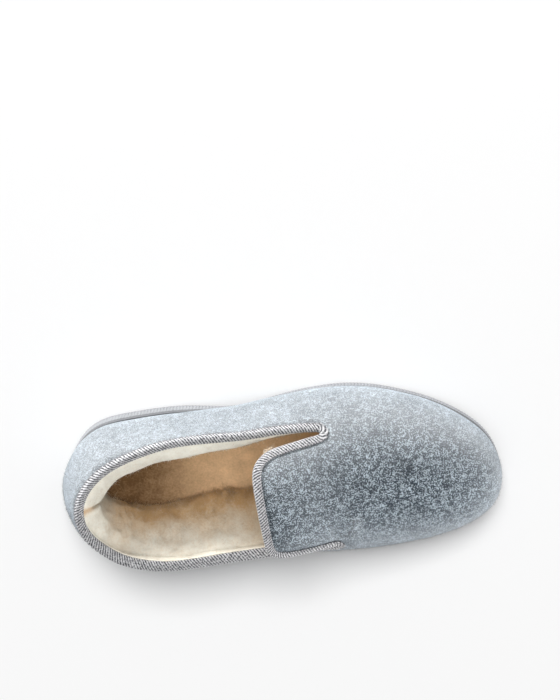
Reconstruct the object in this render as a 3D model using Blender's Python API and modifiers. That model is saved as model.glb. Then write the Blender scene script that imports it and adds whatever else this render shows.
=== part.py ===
"""Left wool felt house slipper: outsole, felt upper with tongue flap, edge binding and insole.

Metres, +Z up, toe along +X, outer (lateral) side of the foot along +Y.
The origin lies on the floor under the middle of the shoe's plan.
Tables give places along the shoe as shares of its length, counted from the heel back.
"""
import math
from collections import namedtuple

import bmesh
import bpy
import numpy as np
from mathutils import Vector
from mathutils.bvhtree import BVHTree
from mathutils.interpolate import poly_3d_calc

COLLECTION = "felt_slipper"

# Driving dimensions
SHOE_LENGTH = 0.280
BALL_WIDTH = 0.106
HEEL_HEIGHT = 0.061
INSTEP_HEIGHT = 0.082
FELT = 0.003
FIT_GAP = 0.0003

# Foot of the felt wall: a margin turned in under the insole, then a tight curl up to the widest line
MARGIN_WIDTH = 0.013
CURL_REACH = 0.0045
CURL_RISE = 0.010
CURL_STEPS = 3
FOOT_ROWS = CURL_STEPS + 3
WALL_STEPS = 6
SIDE_ROWS = FOOT_ROWS + WALL_STEPS

# Vamp: arches between the two widest lines; a turn of 0 is lateral, 1 the crown, 2 medial
ARCH_SQUARENESS = 2.2
TOE_ROUND_START = 0.774
TOE_ROUND_POWER = 2.6
LAST_STATION = 0.9714
VAMP_STATIONS = 15
CROWN_STEPS = 14

# Slits beside the tongue flap: end along the shoe, turn on the arch, width and depth of the round end
NOTCH_LATERAL = 0.570
NOTCH_MEDIAL = 0.626
NOTCH_TURN_LATERAL = 0.44
NOTCH_TURN_MEDIAL = 0.48
NOTCH_BLEND = 0.25
SLIT_WIDTH = 0.0044
SLIT_ROUND = 0.0016
SLIT_STEPS = 4

# Tongue flap, cut in one with the vamp
FLAP_LENGTH = 0.042
FLAP_REAR_TURN_LATERAL = 0.57
FLAP_REAR_TURN_MEDIAL = 0.50
FLAP_SPREAD = 0.007
FLAP_SPREAD_POWER = 1.2
FLAP_CORNER_POWER = 8
# Its medial half lies flatter than the arch: rise of the edge, growth back from the notch, slant of the rise
FLAP_LIFT = 0.011
FLAP_LIFT_POWER = 0.7
FLAP_LIFT_SLANT = math.radians(26.0)
FLAP_ROWS = 7

QUARTER_STATIONS = 54
SOLE_STATIONS = 44
PLAN_SAMPLES = 1440

# Binding tape folded over the cut edge, narrower on the outside of the collar
TAPE_THICKNESS = 0.0009
TAPE_DEPTH = 0.0055
TAPE_COLLAR_DEPTH = 0.0034
TAPE_BLEND = 0.05
TAPE_GAP = 0.0005
TAPE_ROLL_STEPS = 4

INSOLE_THICKNESS = 0.007
INSOLE_CLEARANCE = 0.0055
INSOLE_BEVEL = 0.0025

# Plan of the sole, once round from the heel back along the lateral side.
# across: share of the ball width, overhang: the felt's widest line outside the sole's edge (metres)
Plan = namedtuple("Plan", "along across overhang")
SOLE_PLAN = [
    Plan(0.000, -0.024, 0.0020),
    Plan(0.031, 0.217, 0.0012),
    Plan(0.077, 0.325, 0.0010),
    Plan(0.148, 0.379, 0.0011),
    Plan(0.280, 0.425, 0.0018),
    Plan(0.380, 0.430, 0.0050),
    Plan(0.477, 0.492, 0.0044),
    Plan(0.637, 0.572, 0.0029),
    Plan(0.763, 0.536, 0.0025),
    Plan(0.856, 0.462, 0.0019),
    Plan(0.948, 0.318, 0.0008),
    Plan(0.986, 0.176, 0.0002),
    Plan(0.999, 0.030, -0.0002),
    Plan(0.979, -0.128, 0.0008),
    Plan(0.916, -0.262, 0.0015),
    Plan(0.809, -0.362, 0.0015),
    Plan(0.655, -0.412, 0.0015),
    Plan(0.441, -0.349, 0.0040),
    Plan(0.298, -0.368, 0.0035),
    Plan(0.148, -0.420, 0.0005),
    Plan(0.076, -0.363, 0.0003),
    Plan(0.027, -0.245, 0.0008),
]

# Side view of the sole, heights in metres: arch between heel and forefoot, toe spring
SoleLevel = namedtuple("SoleLevel", "along bottom top")
SOLE_LEVELS = [
    SoleLevel(-0.020, 0.0012, 0.0105),
    SoleLevel(0.060, 0.0, 0.0102),
    SoleLevel(0.238, 0.0, 0.0098),
    SoleLevel(0.397, 0.0022, 0.0090),
    SoleLevel(0.546, 0.0, 0.0074),
    SoleLevel(0.715, 0.0, 0.0068),
    SoleLevel(0.854, 0.0016, 0.0082),
    SoleLevel(1.013, 0.0060, 0.0122),
]

# Side of the sole from the floor up: share of the thickness, step out from the plan (metres)
SoleSide = namedtuple("SoleSide", "rise out")
SOLE_SIDE = [
    SoleSide(0.0, -0.0016),
    SoleSide(0.16, -0.0002),
    SoleSide(0.45, 0.0),
    SoleSide(0.74, -0.0002),
    SoleSide(0.80, -0.0010),
    SoleSide(1.0, -0.0010),
]

# Crown line of vamp and flap, height as a share of the instep height
Crown = namedtuple("Crown", "along height")
CROWN = [
    Crown(0.397, 1.020),
    Crown(0.496, 0.930),
    Crown(0.616, 0.780),
    Crown(0.735, 0.670),
    Crown(0.874, 0.575),
    Crown(1.013, 0.500),
]

# Collar edge from the lateral notch round the heel to the medial notch.
# across: share of the ball width, height: share of the heel height
Collar = namedtuple("Collar", "along across height")
COLLAR = [
    Collar(0.512, 0.497, 0.877),
    Collar(0.423, 0.477, 0.918),
    Collar(0.324, 0.458, 0.943),
    Collar(0.255, 0.433, 0.951),
    Collar(0.188, 0.372, 0.951),
    Collar(0.120, 0.280, 0.959),
    Collar(0.063, 0.146, 0.975),
    Collar(0.038, -0.028, 0.984),
    Collar(0.052, -0.189, 0.975),
    Collar(0.080, -0.283, 0.959),
    Collar(0.128, -0.374, 0.951),
    Collar(0.212, -0.421, 0.951),
    Collar(0.288, -0.406, 0.951),
    Collar(0.387, -0.365, 0.934),
    Collar(0.474, -0.336, 0.902),
    Collar(0.555, -0.302, 0.885),
]

Finish = namedtuple("Finish", "name colour roughness")
FELT_FINISH = Finish("marl_felt", (0.30, 0.33, 0.38, 1.0), 0.95)
SOLE_FINISH = Finish("sole_rubber", (0.42, 0.41, 0.44, 1.0), 0.8)
TAPE_FINISH = Finish("twill_tape", (0.52, 0.52, 0.54, 1.0), 0.85)
WOOL_FINISH = Finish("wool_insole", (0.74, 0.68, 0.57, 1.0), 1.0)


# Curves

def spline(points, closed=False):
    """Cubic curve through the points: a function of the knot value, and the knots."""
    points = np.asarray(points, float)
    count = len(points)
    following = np.roll(points, -1, axis=0)
    steps = np.linalg.norm(following - points, axis=1) ** 0.5
    if not closed:
        steps = steps[:-1]
    knots = np.concatenate([[0.0], np.cumsum(steps)])
    matrix = np.zeros((count, count))
    right = np.zeros_like(points)
    for i in range(count):
        if not closed and i in (0, count - 1):
            matrix[i, i] = 1.0
            continue
        before, after = steps[i - 1], steps[i]
        matrix[i, i - 1] += before
        matrix[i, i] += 2.0 * (before + after)
        matrix[i, (i + 1) % count] += after
        right[i] = 6.0 * ((following[i] - points[i]) / after - (points[i] - points[i - 1]) / before)
    bends = np.linalg.solve(matrix, right)

    def at(value):
        part = np.clip(np.searchsorted(knots, value, side="right") - 1, 0, len(steps) - 1)
        end = (part + 1) % count
        step = steps[part][..., None]
        u = (value - knots[part])[..., None]
        v = step - u
        curve = (bends[part] * v ** 3 + bends[end] * u ** 3) / (6.0 * step)
        curve += (points[part] / step - bends[part] * step / 6.0) * v
        curve += (points[end] / step - bends[end] * step / 6.0) * u
        return curve

    return at, knots


def column_along(rows, column):
    """Smooth function of the place along the shoe through one column of a table."""
    at, knots = spline([(row.along * SHOE_LENGTH, getattr(row, column)) for row in rows])
    samples = at(np.linspace(0.0, knots[-1], PLAN_SAMPLES))
    return lambda x: np.interp(x, samples[:, 0], samples[:, 1])


def arc_lengths(points):
    """Distance along a line of points, from its first point."""
    return np.concatenate([[0.0], np.cumsum(np.linalg.norm(np.diff(points, axis=0), axis=1))])


def spread_evenly(line, values, count):
    """Values read at equal distances along a line of points."""
    lengths = arc_lengths(line)
    wanted = np.linspace(0.0, lengths[-1], count + 1)
    return np.array([np.interp(wanted, lengths, column) for column in np.atleast_2d(values.T)]).T


# Plan of sole and felt, sampled closely once round from the heel back

def plan_samples():
    """Place on the sole's edge, outward normal, and widest line of the felt."""
    scales = np.array([SHOE_LENGTH, BALL_WIDTH, 1.0])
    at, knots = spline(np.array(SOLE_PLAN) * scales, closed=True)
    samples = at(np.linspace(0.0, knots[-1], PLAN_SAMPLES, endpoint=False))
    place = samples[:, :2]
    ahead = np.roll(place, -1, axis=0) - np.roll(place, 1, axis=0)
    ahead /= np.linalg.norm(ahead, axis=1)[:, None]
    normal = np.column_stack([-ahead[:, 1], ahead[:, 0]])
    widest = place + normal * samples[:, 2:]
    heel = int(np.argmin(widest[:, 0]))
    return [np.roll(table, -heel, axis=0) for table in (place, normal, widest)]


SOLE_EDGE, EDGE_NORMAL, WIDEST = plan_samples()
CENTRE = (WIDEST.min(axis=0) + WIDEST.max(axis=0)) / 2.0
TOE = int(np.argmax(WIDEST[:, 0]))
LATERAL_SIDE = np.arange(0, TOE + 1)
MEDIAL_SIDE = np.arange(PLAN_SAMPLES, TOE - 1, -1)

sole_curve = column_along(SOLE_LEVELS, "bottom")
sole_top = column_along(SOLE_LEVELS, "top")
crown_share = column_along(CROWN, "height")


def sole_bottom(x):
    """Underside of the sole: flat on the floor at heel and forefoot, lifted at arch and toe."""
    return np.maximum(sole_curve(x), 0.0)


def plan_number(x, side):
    """Fractional sample number where the widest line of one side passes x."""
    return np.interp(x, WIDEST[side % PLAN_SAMPLES, 0], side)


def plan_at(table, number):
    """Reading of a plan table at fractional sample numbers."""
    number = np.asarray(number, float)
    low = np.floor(number).astype(int)
    part = (number - low)[..., None]
    return table[low % PLAN_SAMPLES] * (1.0 - part) + table[(low + 1) % PLAN_SAMPLES] * part


# Surface of the upper

def wall_foot(number):
    """Margin, curl and widest point of the felt at one place of the plan, from the inside outward."""
    widest = plan_at(WIDEST, number)
    normal = plan_at(EDGE_NORMAL, number)
    turns = np.linspace(0.0, math.pi / 2.0, CURL_STEPS + 1)
    insets = np.concatenate([
        [MARGIN_WIDTH, (MARGIN_WIDTH + CURL_REACH) / 2.0],
        CURL_REACH * (1.0 - np.sin(turns)),
    ])
    rises = np.concatenate([[0.0, 0.0], CURL_RISE * (1.0 - np.cos(turns))])
    flat = widest - normal * insets[:, None]
    return np.column_stack([flat, sole_top(flat[:, 0]) + FIT_GAP + rises])


def station_numbers(share):
    """Lateral and medial plan numbers: share 0 at the notches, 1 at the toe tip, -1 at the flap's rear."""
    numbers = []
    for notch, side in ((NOTCH_LATERAL, LATERAL_SIDE), (NOTCH_MEDIAL, MEDIAL_SIDE)):
        start = plan_number(notch * SHOE_LENGTH, side)
        if share < 0.0:
            numbers.append(plan_number(notch * SHOE_LENGTH + share * FLAP_LENGTH, side))
        else:
            numbers.append(start + (TOE - start) * share)
    return numbers


def crown_height(x):
    """Height of the vamp's crown, rounded down to the widest line at the toe tip."""
    tip = WIDEST[TOE, 0]
    start = TOE_ROUND_START * SHOE_LENGTH
    low = sole_top(tip) + FIT_GAP + CURL_RISE
    closing = np.clip((x - start) / (tip - start), 0.0, 1.0)
    rounding = (1.0 - closing ** TOE_ROUND_POWER) ** (1.0 / TOE_ROUND_POWER)
    return low + (crown_share(x) * INSTEP_HEIGHT - low) * rounding


def arch_points(lateral, medial, turns):
    """Points of the arch over the foot between a lateral and a medial widest point."""
    turns = np.asarray(turns, float)
    angles = turns * math.pi / 2.0
    power = 2.0 / ARCH_SQUARENESS
    sides = np.sign(np.cos(angles)) * np.abs(np.cos(angles)) ** power
    rises = np.abs(np.sin(angles)) ** power
    middle = (lateral[:2] + medial[:2]) / 2.0
    flat = middle + sides[:, None] * (lateral[:2] - medial[:2]) / 2.0
    feet = np.where(turns < 1.0, lateral[2], medial[2])
    return np.column_stack([flat, feet + (crown_height(middle[0]) - feet) * rises])


def slit_turn(lateral, medial, notch_turn):
    """Turn that the slit's width takes up on the arch at its notch."""
    small = 0.01
    ends = arch_points(lateral, medial, [notch_turn, notch_turn + small])
    return small * SLIT_WIDTH / np.linalg.norm(ends[1] - ends[0])


def flap_point(back, across, first_turn, last_turn):
    """Point of the flap: back 0 at the notches and 1 at the rear, across -1 lateral and 1 medial."""
    lateral, medial = (wall_foot(number)[-1] for number in station_numbers(-back))
    outward = (lateral - medial) / np.linalg.norm(lateral - medial)
    spread = outward * FLAP_SPREAD * back ** FLAP_SPREAD_POWER
    start = first_turn + (FLAP_REAR_TURN_LATERAL - first_turn) * back
    end = last_turn + (2.0 - FLAP_REAR_TURN_MEDIAL - last_turn) * back
    turn = (start + end) / 2.0 + across * (end - start) / 2.0
    lift = FLAP_LIFT * back ** FLAP_LIFT_POWER * max(across, 0.0) ** 2
    rise = np.array([0.0, math.sin(FLAP_LIFT_SLANT), math.cos(FLAP_LIFT_SLANT)])
    return arch_points(lateral + spread, medial - spread, [turn])[0] + lift * rise


class Surface:
    """Open surface gathered as vertices and quads, strip by strip."""

    def __init__(self):
        self.vertices = []
        self.faces = []

    def add(self, points):
        start = len(self.vertices)
        self.vertices.extend(tuple(point) for point in points)
        return list(range(start, start + len(points)))

    def strip(self, row_a, row_b):
        for i in range(len(row_a) - 1):
            self.faces.append((row_a[i], row_a[i + 1], row_b[i + 1], row_b[i]))

    def points(self, numbers):
        return np.array([self.vertices[number] for number in numbers])


def add_vamp(surface):
    """Arches from the notches to the toe tip; returns their rows and the turns of the crown's columns."""
    lateral, medial = (wall_foot(number)[-1] for number in station_numbers(0.0))
    gap_lateral = slit_turn(lateral, medial, NOTCH_TURN_LATERAL)
    gap_medial = slit_turn(medial, lateral, NOTCH_TURN_MEDIAL)
    crown_turns = np.linspace(NOTCH_TURN_LATERAL + gap_lateral, 2.0 - NOTCH_TURN_MEDIAL - gap_medial,
                              CROWN_STEPS + 1)
    slit = np.linspace(0.0, 1.0, SLIT_STEPS + 1)[1:-1]
    turns = np.concatenate([
        np.linspace(0.0, NOTCH_TURN_LATERAL, WALL_STEPS + 1)[1:],
        NOTCH_TURN_LATERAL + slit * gap_lateral,
        crown_turns,
        2.0 - NOTCH_TURN_MEDIAL - gap_medial + slit * gap_medial,
        2.0 - np.linspace(NOTCH_TURN_MEDIAL, 0.0, WALL_STEPS + 1)[:-1],
    ])
    round_end = np.outer(SLIT_ROUND * np.sin(math.pi * slit), [1.0, 0.0, 0.0])
    rows = []
    for station in range(VAMP_STATIONS + 1):
        share = LAST_STATION * math.sin(math.pi / 2.0 * station / VAMP_STATIONS)
        lateral_foot, medial_foot = (wall_foot(number) for number in station_numbers(share))
        arch = arch_points(lateral_foot[-1], medial_foot[-1], turns)
        if station == 0:
            arch[WALL_STEPS:WALL_STEPS + SLIT_STEPS - 1] += round_end
            arch[-WALL_STEPS - SLIT_STEPS + 1:-WALL_STEPS] += round_end
        rows.append(surface.add(np.vstack([lateral_foot, arch, medial_foot[::-1]])))
    for row_a, row_b in zip(rows, rows[1:]):
        surface.strip(row_a, row_b)
    return rows, crown_turns


def close_toe(surface, row):
    """Front of the toe: the last arch's two halves joined across."""
    for i in range(len(row) // 2):
        corners = [row[i], row[i + 1], row[-2 - i], row[-1 - i]]
        surface.faces.append(tuple(dict.fromkeys(corners)))


def side_profile(points):
    """Share of the lean against share of the height along the side of an arch."""
    lean = np.linalg.norm(points[:, :2] - points[0, :2], axis=1)
    rise = points[:, 2] - points[0, 2]
    return rise / rise[-1], lean / lean[-1]


def add_quarters(surface, notch_arch):
    """Walls from the lateral notch round the heel to the medial notch; returns their ribs."""
    lateral_rib = notch_arch[:SIDE_ROWS]
    medial_rib = notch_arch[:-SIDE_ROWS - 1:-1]
    profiles = [side_profile(surface.points(rib)[FOOT_ROWS - 1:]) for rib in (lateral_rib, medial_rib)]
    ends = [surface.vertices[rib[-1]] for rib in (lateral_rib, medial_rib)]
    scales = np.array([SHOE_LENGTH, BALL_WIDTH, HEEL_HEIGHT])
    collar = list(np.array(COLLAR) * scales)
    at, knots = spline([ends[0]] + collar + [ends[1]])
    edge = at(np.linspace(0.0, knots[-1], PLAN_SAMPLES))
    edge = spread_evenly(edge, edge, QUARTER_STATIONS)
    lateral, medial = station_numbers(0.0)
    numbers = np.linspace(lateral, medial - PLAN_SAMPLES, PLAN_SAMPLES)
    numbers = spread_evenly(plan_at(WIDEST, numbers), numbers, QUARTER_STATIONS)[:, 0]
    height = np.linspace(0.0, 1.0, WALL_STEPS + 1)[1:]
    ribs = [lateral_rib]
    for station in range(1, QUARTER_STATIONS):
        way = station / QUARTER_STATIONS
        foot = wall_foot(numbers[station])
        base, top = foot[-1], edge[station]
        weights = [max(0.0, 1.0 - near / NOTCH_BLEND) ** 2 for near in (way, 1.0 - way)]
        lean = (1.0 - sum(weights)) * height ** 2
        for weight, profile in zip(weights, profiles):
            lean = lean + weight * np.interp(height, *profile)
        flat = base[:2] + lean[:, None] * (top[:2] - base[:2])
        wall = np.column_stack([flat, base[2] + height * (top[2] - base[2])])
        ribs.append(surface.add(np.vstack([foot, wall])))
    ribs.append(medial_rib)
    for rib_a, rib_b in zip(ribs, ribs[1:]):
        surface.strip(rib_b, rib_a)
    return ribs


def add_flap(surface, crown_row, crown_turns):
    """Tongue flap back from the notches, with rounded rear corners; returns its rows."""
    pull = 1.0 / (FLAP_CORNER_POWER + 1.0)
    rows = [crown_row]
    for row in range(1, FLAP_ROWS + 1):
        back = row / FLAP_ROWS
        points = []
        for across in np.linspace(-1.0, 1.0, CROWN_STEPS + 1):
            inward = across * (1.0 - pull * back ** FLAP_CORNER_POWER)
            reach = back * (1.0 - pull * abs(across) ** FLAP_CORNER_POWER)
            points.append(flap_point(reach, inward, crown_turns[0], crown_turns[-1]))
        rows.append(surface.add(points))
    for row_a, row_b in zip(rows, rows[1:]):
        surface.strip(row_b, row_a)
    return rows


def upper_surface():
    """Outer surface of the felt, and the loop of its cut edge at collar and flap."""
    surface = Surface()
    arches, crown_turns = add_vamp(surface)
    close_toe(surface, arches[-1])
    notch_arch = arches[0]
    ribs = add_quarters(surface, notch_arch)
    crown = SIDE_ROWS + SLIT_STEPS - 1
    lateral_slit = notch_arch[SIDE_ROWS:crown]
    medial_slit = notch_arch[-crown:-SIDE_ROWS]
    flap = add_flap(surface, notch_arch[crown:-crown], crown_turns)
    edge_loop = [rib[-1] for rib in ribs]
    edge_loop += medial_slit[::-1]
    edge_loop += [row[-1] for row in flap]
    edge_loop += flap[-1][-2:0:-1]
    edge_loop += [row[0] for row in flap[::-1]]
    edge_loop += lateral_slit[::-1]
    return surface, edge_loop


# Objects

def placed(points):
    """Table coordinates moved to the part's own origin."""
    points = np.array(points, float)
    points[:, :2] -= CENTRE
    return points


def make_material(finish):
    material = bpy.data.materials.new(finish.name)
    material.use_nodes = True
    shader = material.node_tree.nodes["Principled BSDF"]
    shader.inputs["Base Color"].default_value = finish.colour
    shader.inputs["Roughness"].default_value = finish.roughness
    shader.inputs["Metallic"].default_value = 0.0
    return material


def new_object(name, vertices, faces, finish):
    mesh = bpy.data.meshes.new(name)
    mesh.from_pydata([tuple(vertex) for vertex in vertices], [], faces)
    shape = bmesh.new()
    shape.from_mesh(mesh)
    bmesh.ops.recalc_face_normals(shape, faces=shape.faces)
    shape.to_mesh(mesh)
    shape.free()
    mesh.materials.append(make_material(finish))
    mesh.shade_smooth()
    obj = bpy.data.objects.new(name, mesh)
    bpy.data.collections[COLLECTION].objects.link(obj)
    return obj


def ring_faces(ring_count, size, closed):
    """Quads between neighbouring rings of points; closed joins the last ring to the first."""
    faces = []
    for ring in range(ring_count if closed else ring_count - 1):
        a, b = ring * size, (ring + 1) % ring_count * size
        for i in range(size):
            j = (i + 1) % size
            faces.append((a + i, a + j, b + j, b + i))
    return faces


def make_upper():
    surface, edge_loop = upper_surface()
    obj = new_object("upper", placed(surface.vertices), surface.faces, FELT_FINISH)
    shell = obj.modifiers.new("felt_thickness", "SOLIDIFY")
    shell.thickness = FELT
    shell.offset = -1.0
    shell.use_even_offset = True
    return obj, edge_loop


def felt_reader(shape):
    """Function that gives the nearest point of the felt's outer surface and its smooth normal."""
    tree = BVHTree.FromBMesh(shape)

    def read(point):
        place, _, number, _ = tree.find_nearest(point)
        corners = shape.faces[number].verts
        weights = poly_3d_calc([corner.co for corner in corners], place)
        normal = sum((corner.normal * weight for corner, weight in zip(corners, weights)), Vector())
        return place, normal.normalized()

    return read


def outer_depth(number):
    """Depth of the tape's outer leg at one place of the edge loop, which starts with the collar."""
    from_notch = min(number, QUARTER_STATIONS - number) / QUARTER_STATIONS
    blend = min(max(from_notch / TAPE_BLEND, 0.0), 1.0)
    return TAPE_DEPTH + (TAPE_COLLAR_DEPTH - TAPE_DEPTH) * blend


def tape_ring(read, edge, normal, out, depth):
    """Section of the folded tape: channel round the felt's edge, then the outside back again."""
    near, far = TAPE_GAP, TAPE_GAP + TAPE_THICKNESS
    outer = [read(edge - out * depth * share) for share in (1.0, 0.5)]
    inner = [read(edge - out * TAPE_DEPTH * share) for share in (1.0, 0.5)]
    ring = [place + up * near for place, up in outer]
    ring.append(edge + normal * near + out * near)
    ring.append(edge - normal * (FELT + near) + out * near)
    ring += [place - up * (FELT + near) for place, up in reversed(inner)]
    ring += [place - up * (FELT + far) for place, up in inner]
    middle = edge - normal * FELT / 2.0
    for step in range(TAPE_ROLL_STEPS + 1):
        angle = math.pi * (step / TAPE_ROLL_STEPS - 0.5)
        ring.append(middle + normal * (FELT / 2.0 + far) * math.sin(angle) + out * far * math.cos(angle))
    ring += [place + up * far for place, up in reversed(outer)]
    return ring


def make_binding(upper, edge_loop):
    """Tape folded over the cut edge, along the collar, into both slits and round the flap."""
    shape = bmesh.new()
    shape.from_mesh(upper.data)
    shape.verts.ensure_lookup_table()
    shape.faces.ensure_lookup_table()
    read = felt_reader(shape)
    count = len(edge_loop)
    edge = [shape.verts[number] for number in edge_loop]
    rings = []
    for i in range(count):
        ahead = (edge[(i + 1) % count].co - edge[i].co).normalized()
        behind = (edge[i].co - edge[i - 1].co).normalized()
        normal = edge[i].normal
        out = normal.cross(ahead + behind).normalized()
        rings.append(tape_ring(read, edge[i].co, normal, out, outer_depth(i)))
    vertices = [point for ring in rings for point in ring]
    faces = ring_faces(count, len(rings[0]), closed=True)
    shape.free()
    return new_object("edge_binding", vertices, faces, TAPE_FINISH)


def loop_numbers():
    """Plan numbers once round, in pairs of equal x, closer together at heel and toe."""
    loops = []
    for side in (LATERAL_SIDE, MEDIAL_SIDE):
        low, high = WIDEST[0, 0], WIDEST[TOE, 0]
        turns = np.linspace(0.0, math.pi, SOLE_STATIONS + 1)
        loops.append(list(plan_number((low + high) / 2.0 - (high - low) / 2.0 * np.cos(turns), side)))
    return np.array(loops[0] + loops[1][-2:0:-1])


def loft_body(name, loops, finish):
    """Closed body through plan loops from bottom to top, its ends bridged from side to side."""
    size = len(loops[0])
    faces = ring_faces(len(loops), size, closed=False)
    for start in (0, (len(loops) - 1) * size):
        for k in range(SOLE_STATIONS):
            corners = [start + k, start + k + 1, start + size - k - 1, start + (size - k) % size]
            faces.append(tuple(dict.fromkeys(corners)))
    obj = new_object(name, placed(np.vstack(loops)), faces, finish)
    obj.data.set_sharp_from_angle(angle=math.radians(40.0))
    return obj


def make_outsole():
    numbers = loop_numbers()
    edge, normal = plan_at(SOLE_EDGE, numbers), plan_at(EDGE_NORMAL, numbers)
    loops = []
    for side in SOLE_SIDE:
        flat = edge + normal * side.out
        low, high = sole_bottom(flat[:, 0]), sole_top(flat[:, 0])
        loops.append(np.column_stack([flat, low + (high - low) * side.rise]))
    return loft_body("outsole", loops, SOLE_FINISH)


def make_insole():
    numbers = loop_numbers()
    widest, normal = plan_at(WIDEST, numbers), plan_at(EDGE_NORMAL, numbers)
    seat = FIT_GAP + FELT + FIT_GAP
    shoulder = INSOLE_THICKNESS - INSOLE_BEVEL
    loops = []
    for bevel, rise in ((0.0, 0.0), (0.0, shoulder), (INSOLE_BEVEL, INSOLE_THICKNESS)):
        flat = widest - normal * (INSOLE_CLEARANCE + bevel)
        loops.append(np.column_stack([flat, sole_top(flat[:, 0]) + seat + rise]))
    return loft_body("insole", loops, WOOL_FINISH)


def main():
    for obj in list(bpy.data.objects):
        bpy.data.objects.remove(obj, do_unlink=True)
    collection = bpy.data.collections.new(COLLECTION)
    bpy.context.scene.collection.children.link(collection)
    make_outsole()
    upper, edge_loop = make_upper()
    make_binding(upper, edge_loop)
    make_insole()


main()
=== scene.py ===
"""Dresses the left felt house slipper: marl felt, twill binding, wool pile and rubber sole, on a stage.

Metres, +Z up, toe along +X, outer side of the foot along +Y, floor at z = 0.
Tables give places along the shoe as shares of its length, counted from the heel back.
"""
import functools
import math
from collections import namedtuple

import bpy
import numpy as np
from bpy.props import FloatProperty, FloatVectorProperty, IntProperty, PointerProperty
from bpy.types import Operator, Panel, PropertyGroup
from mathutils import Matrix, Vector, noise
from mathutils.bvhtree import BVHTree
from mathutils.interpolate import poly_3d_calc
from mathutils.kdtree import KDTree


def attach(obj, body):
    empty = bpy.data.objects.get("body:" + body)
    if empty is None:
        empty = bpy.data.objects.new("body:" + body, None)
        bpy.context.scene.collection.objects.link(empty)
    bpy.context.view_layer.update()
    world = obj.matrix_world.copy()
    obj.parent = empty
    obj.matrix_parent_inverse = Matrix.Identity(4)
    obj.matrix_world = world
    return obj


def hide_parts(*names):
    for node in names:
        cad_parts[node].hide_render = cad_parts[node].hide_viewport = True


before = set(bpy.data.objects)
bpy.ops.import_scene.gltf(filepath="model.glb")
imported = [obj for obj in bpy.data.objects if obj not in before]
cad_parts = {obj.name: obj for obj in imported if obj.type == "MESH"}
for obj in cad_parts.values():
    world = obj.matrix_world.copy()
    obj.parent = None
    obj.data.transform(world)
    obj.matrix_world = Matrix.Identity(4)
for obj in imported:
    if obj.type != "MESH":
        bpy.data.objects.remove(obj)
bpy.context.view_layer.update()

bl_info = {
    "name": "Felt slipper",
    "version": (1, 0, 0),
    "blender": (4, 5, 0),
    "location": "View3D > Sidebar > Slipper",
    "description": "Felt, binding, wool pile and sole of a left house slipper",
    "category": "Object",
}

BODY = "root"
SHOE_COLLECTION = "slipper"
FLOOR_COLLECTION = "stage_floor"

# Driving dimensions of the solids
SHOE_LENGTH = 0.280
BALL_WIDTH = 0.106
HEEL_HEIGHT = 0.061
INSTEP_HEIGHT = 0.082
FELT = 0.003
FIT_GAP = 0.0003

# Foot of the felt wall: a margin turned in under the insole, then a tight curl up to the widest line
MARGIN_WIDTH = 0.013
CURL_REACH = 0.0045
CURL_RISE = 0.010
CURL_STEPS = 4
FOOT_ROWS = CURL_STEPS + 3
WALL_STEPS = 24
SIDE_ROWS = FOOT_ROWS + WALL_STEPS
# Rows of the wall, closer together towards the cut edge
WALL_SHARES = 1.0 - np.linspace(1.0, 0.0, WALL_STEPS + 1) ** 1.5

# Vamp: arches between the two widest lines; a turn of 0 is lateral, 1 the crown, 2 medial
ARCH_SQUARENESS = 2.2
TOE_ROUND_START = 0.774
TOE_ROUND_POWER = 2.6
LAST_STATION = 0.9714
VAMP_STATIONS = 66
CROWN_STEPS = 58

# Slits beside the tongue flap: end along the shoe, turn on the arch, width and depth of the round end
NOTCH_LATERAL = 0.570
NOTCH_MEDIAL = 0.626
NOTCH_TURN_LATERAL = 0.44
NOTCH_TURN_MEDIAL = 0.48
NOTCH_BLEND = 0.25
SLIT_WIDTH = 0.0044
SLIT_ROUND = 0.0016
SLIT_STEPS = 8

# Tongue flap, cut in one with the vamp
FLAP_LENGTH = 0.042
FLAP_REAR_TURN_LATERAL = 0.57
FLAP_REAR_TURN_MEDIAL = 0.50
FLAP_SPREAD = 0.007
FLAP_SPREAD_POWER = 1.2
FLAP_CORNER_POWER = 8
# Its medial half lies flatter than the arch: rise of the edge, growth back from the notch, slant of the rise
FLAP_LIFT = 0.011
FLAP_LIFT_POWER = 0.7
FLAP_LIFT_SLANT = math.radians(26.0)
FLAP_ROWS = 28

QUARTER_STATIONS = 230
PLAN_SAMPLES = 1440

# Binding tape folded over the cut edge, narrower on the outside of the collar
TAPE_THICKNESS = 0.0008
TAPE_DEPTH = 0.0055
TAPE_FLAP_DEPTH = 0.0042
TAPE_COLLAR_DEPTH = 0.0034
TAPE_BLEND = 0.05
TAPE_GAP = 0.0002
# The tape presses the felt together: share of its thickness, and how far from the edge it swells again
PRESSED_FELT = 0.6
PRESSED_DEPTH = 0.0040
PRESSED_BLEND = 0.0040

INSOLE_THICKNESS = 0.007
INSOLE_CLEARANCE = 0.0055
INSOLE_BEVEL = 0.0025

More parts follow.
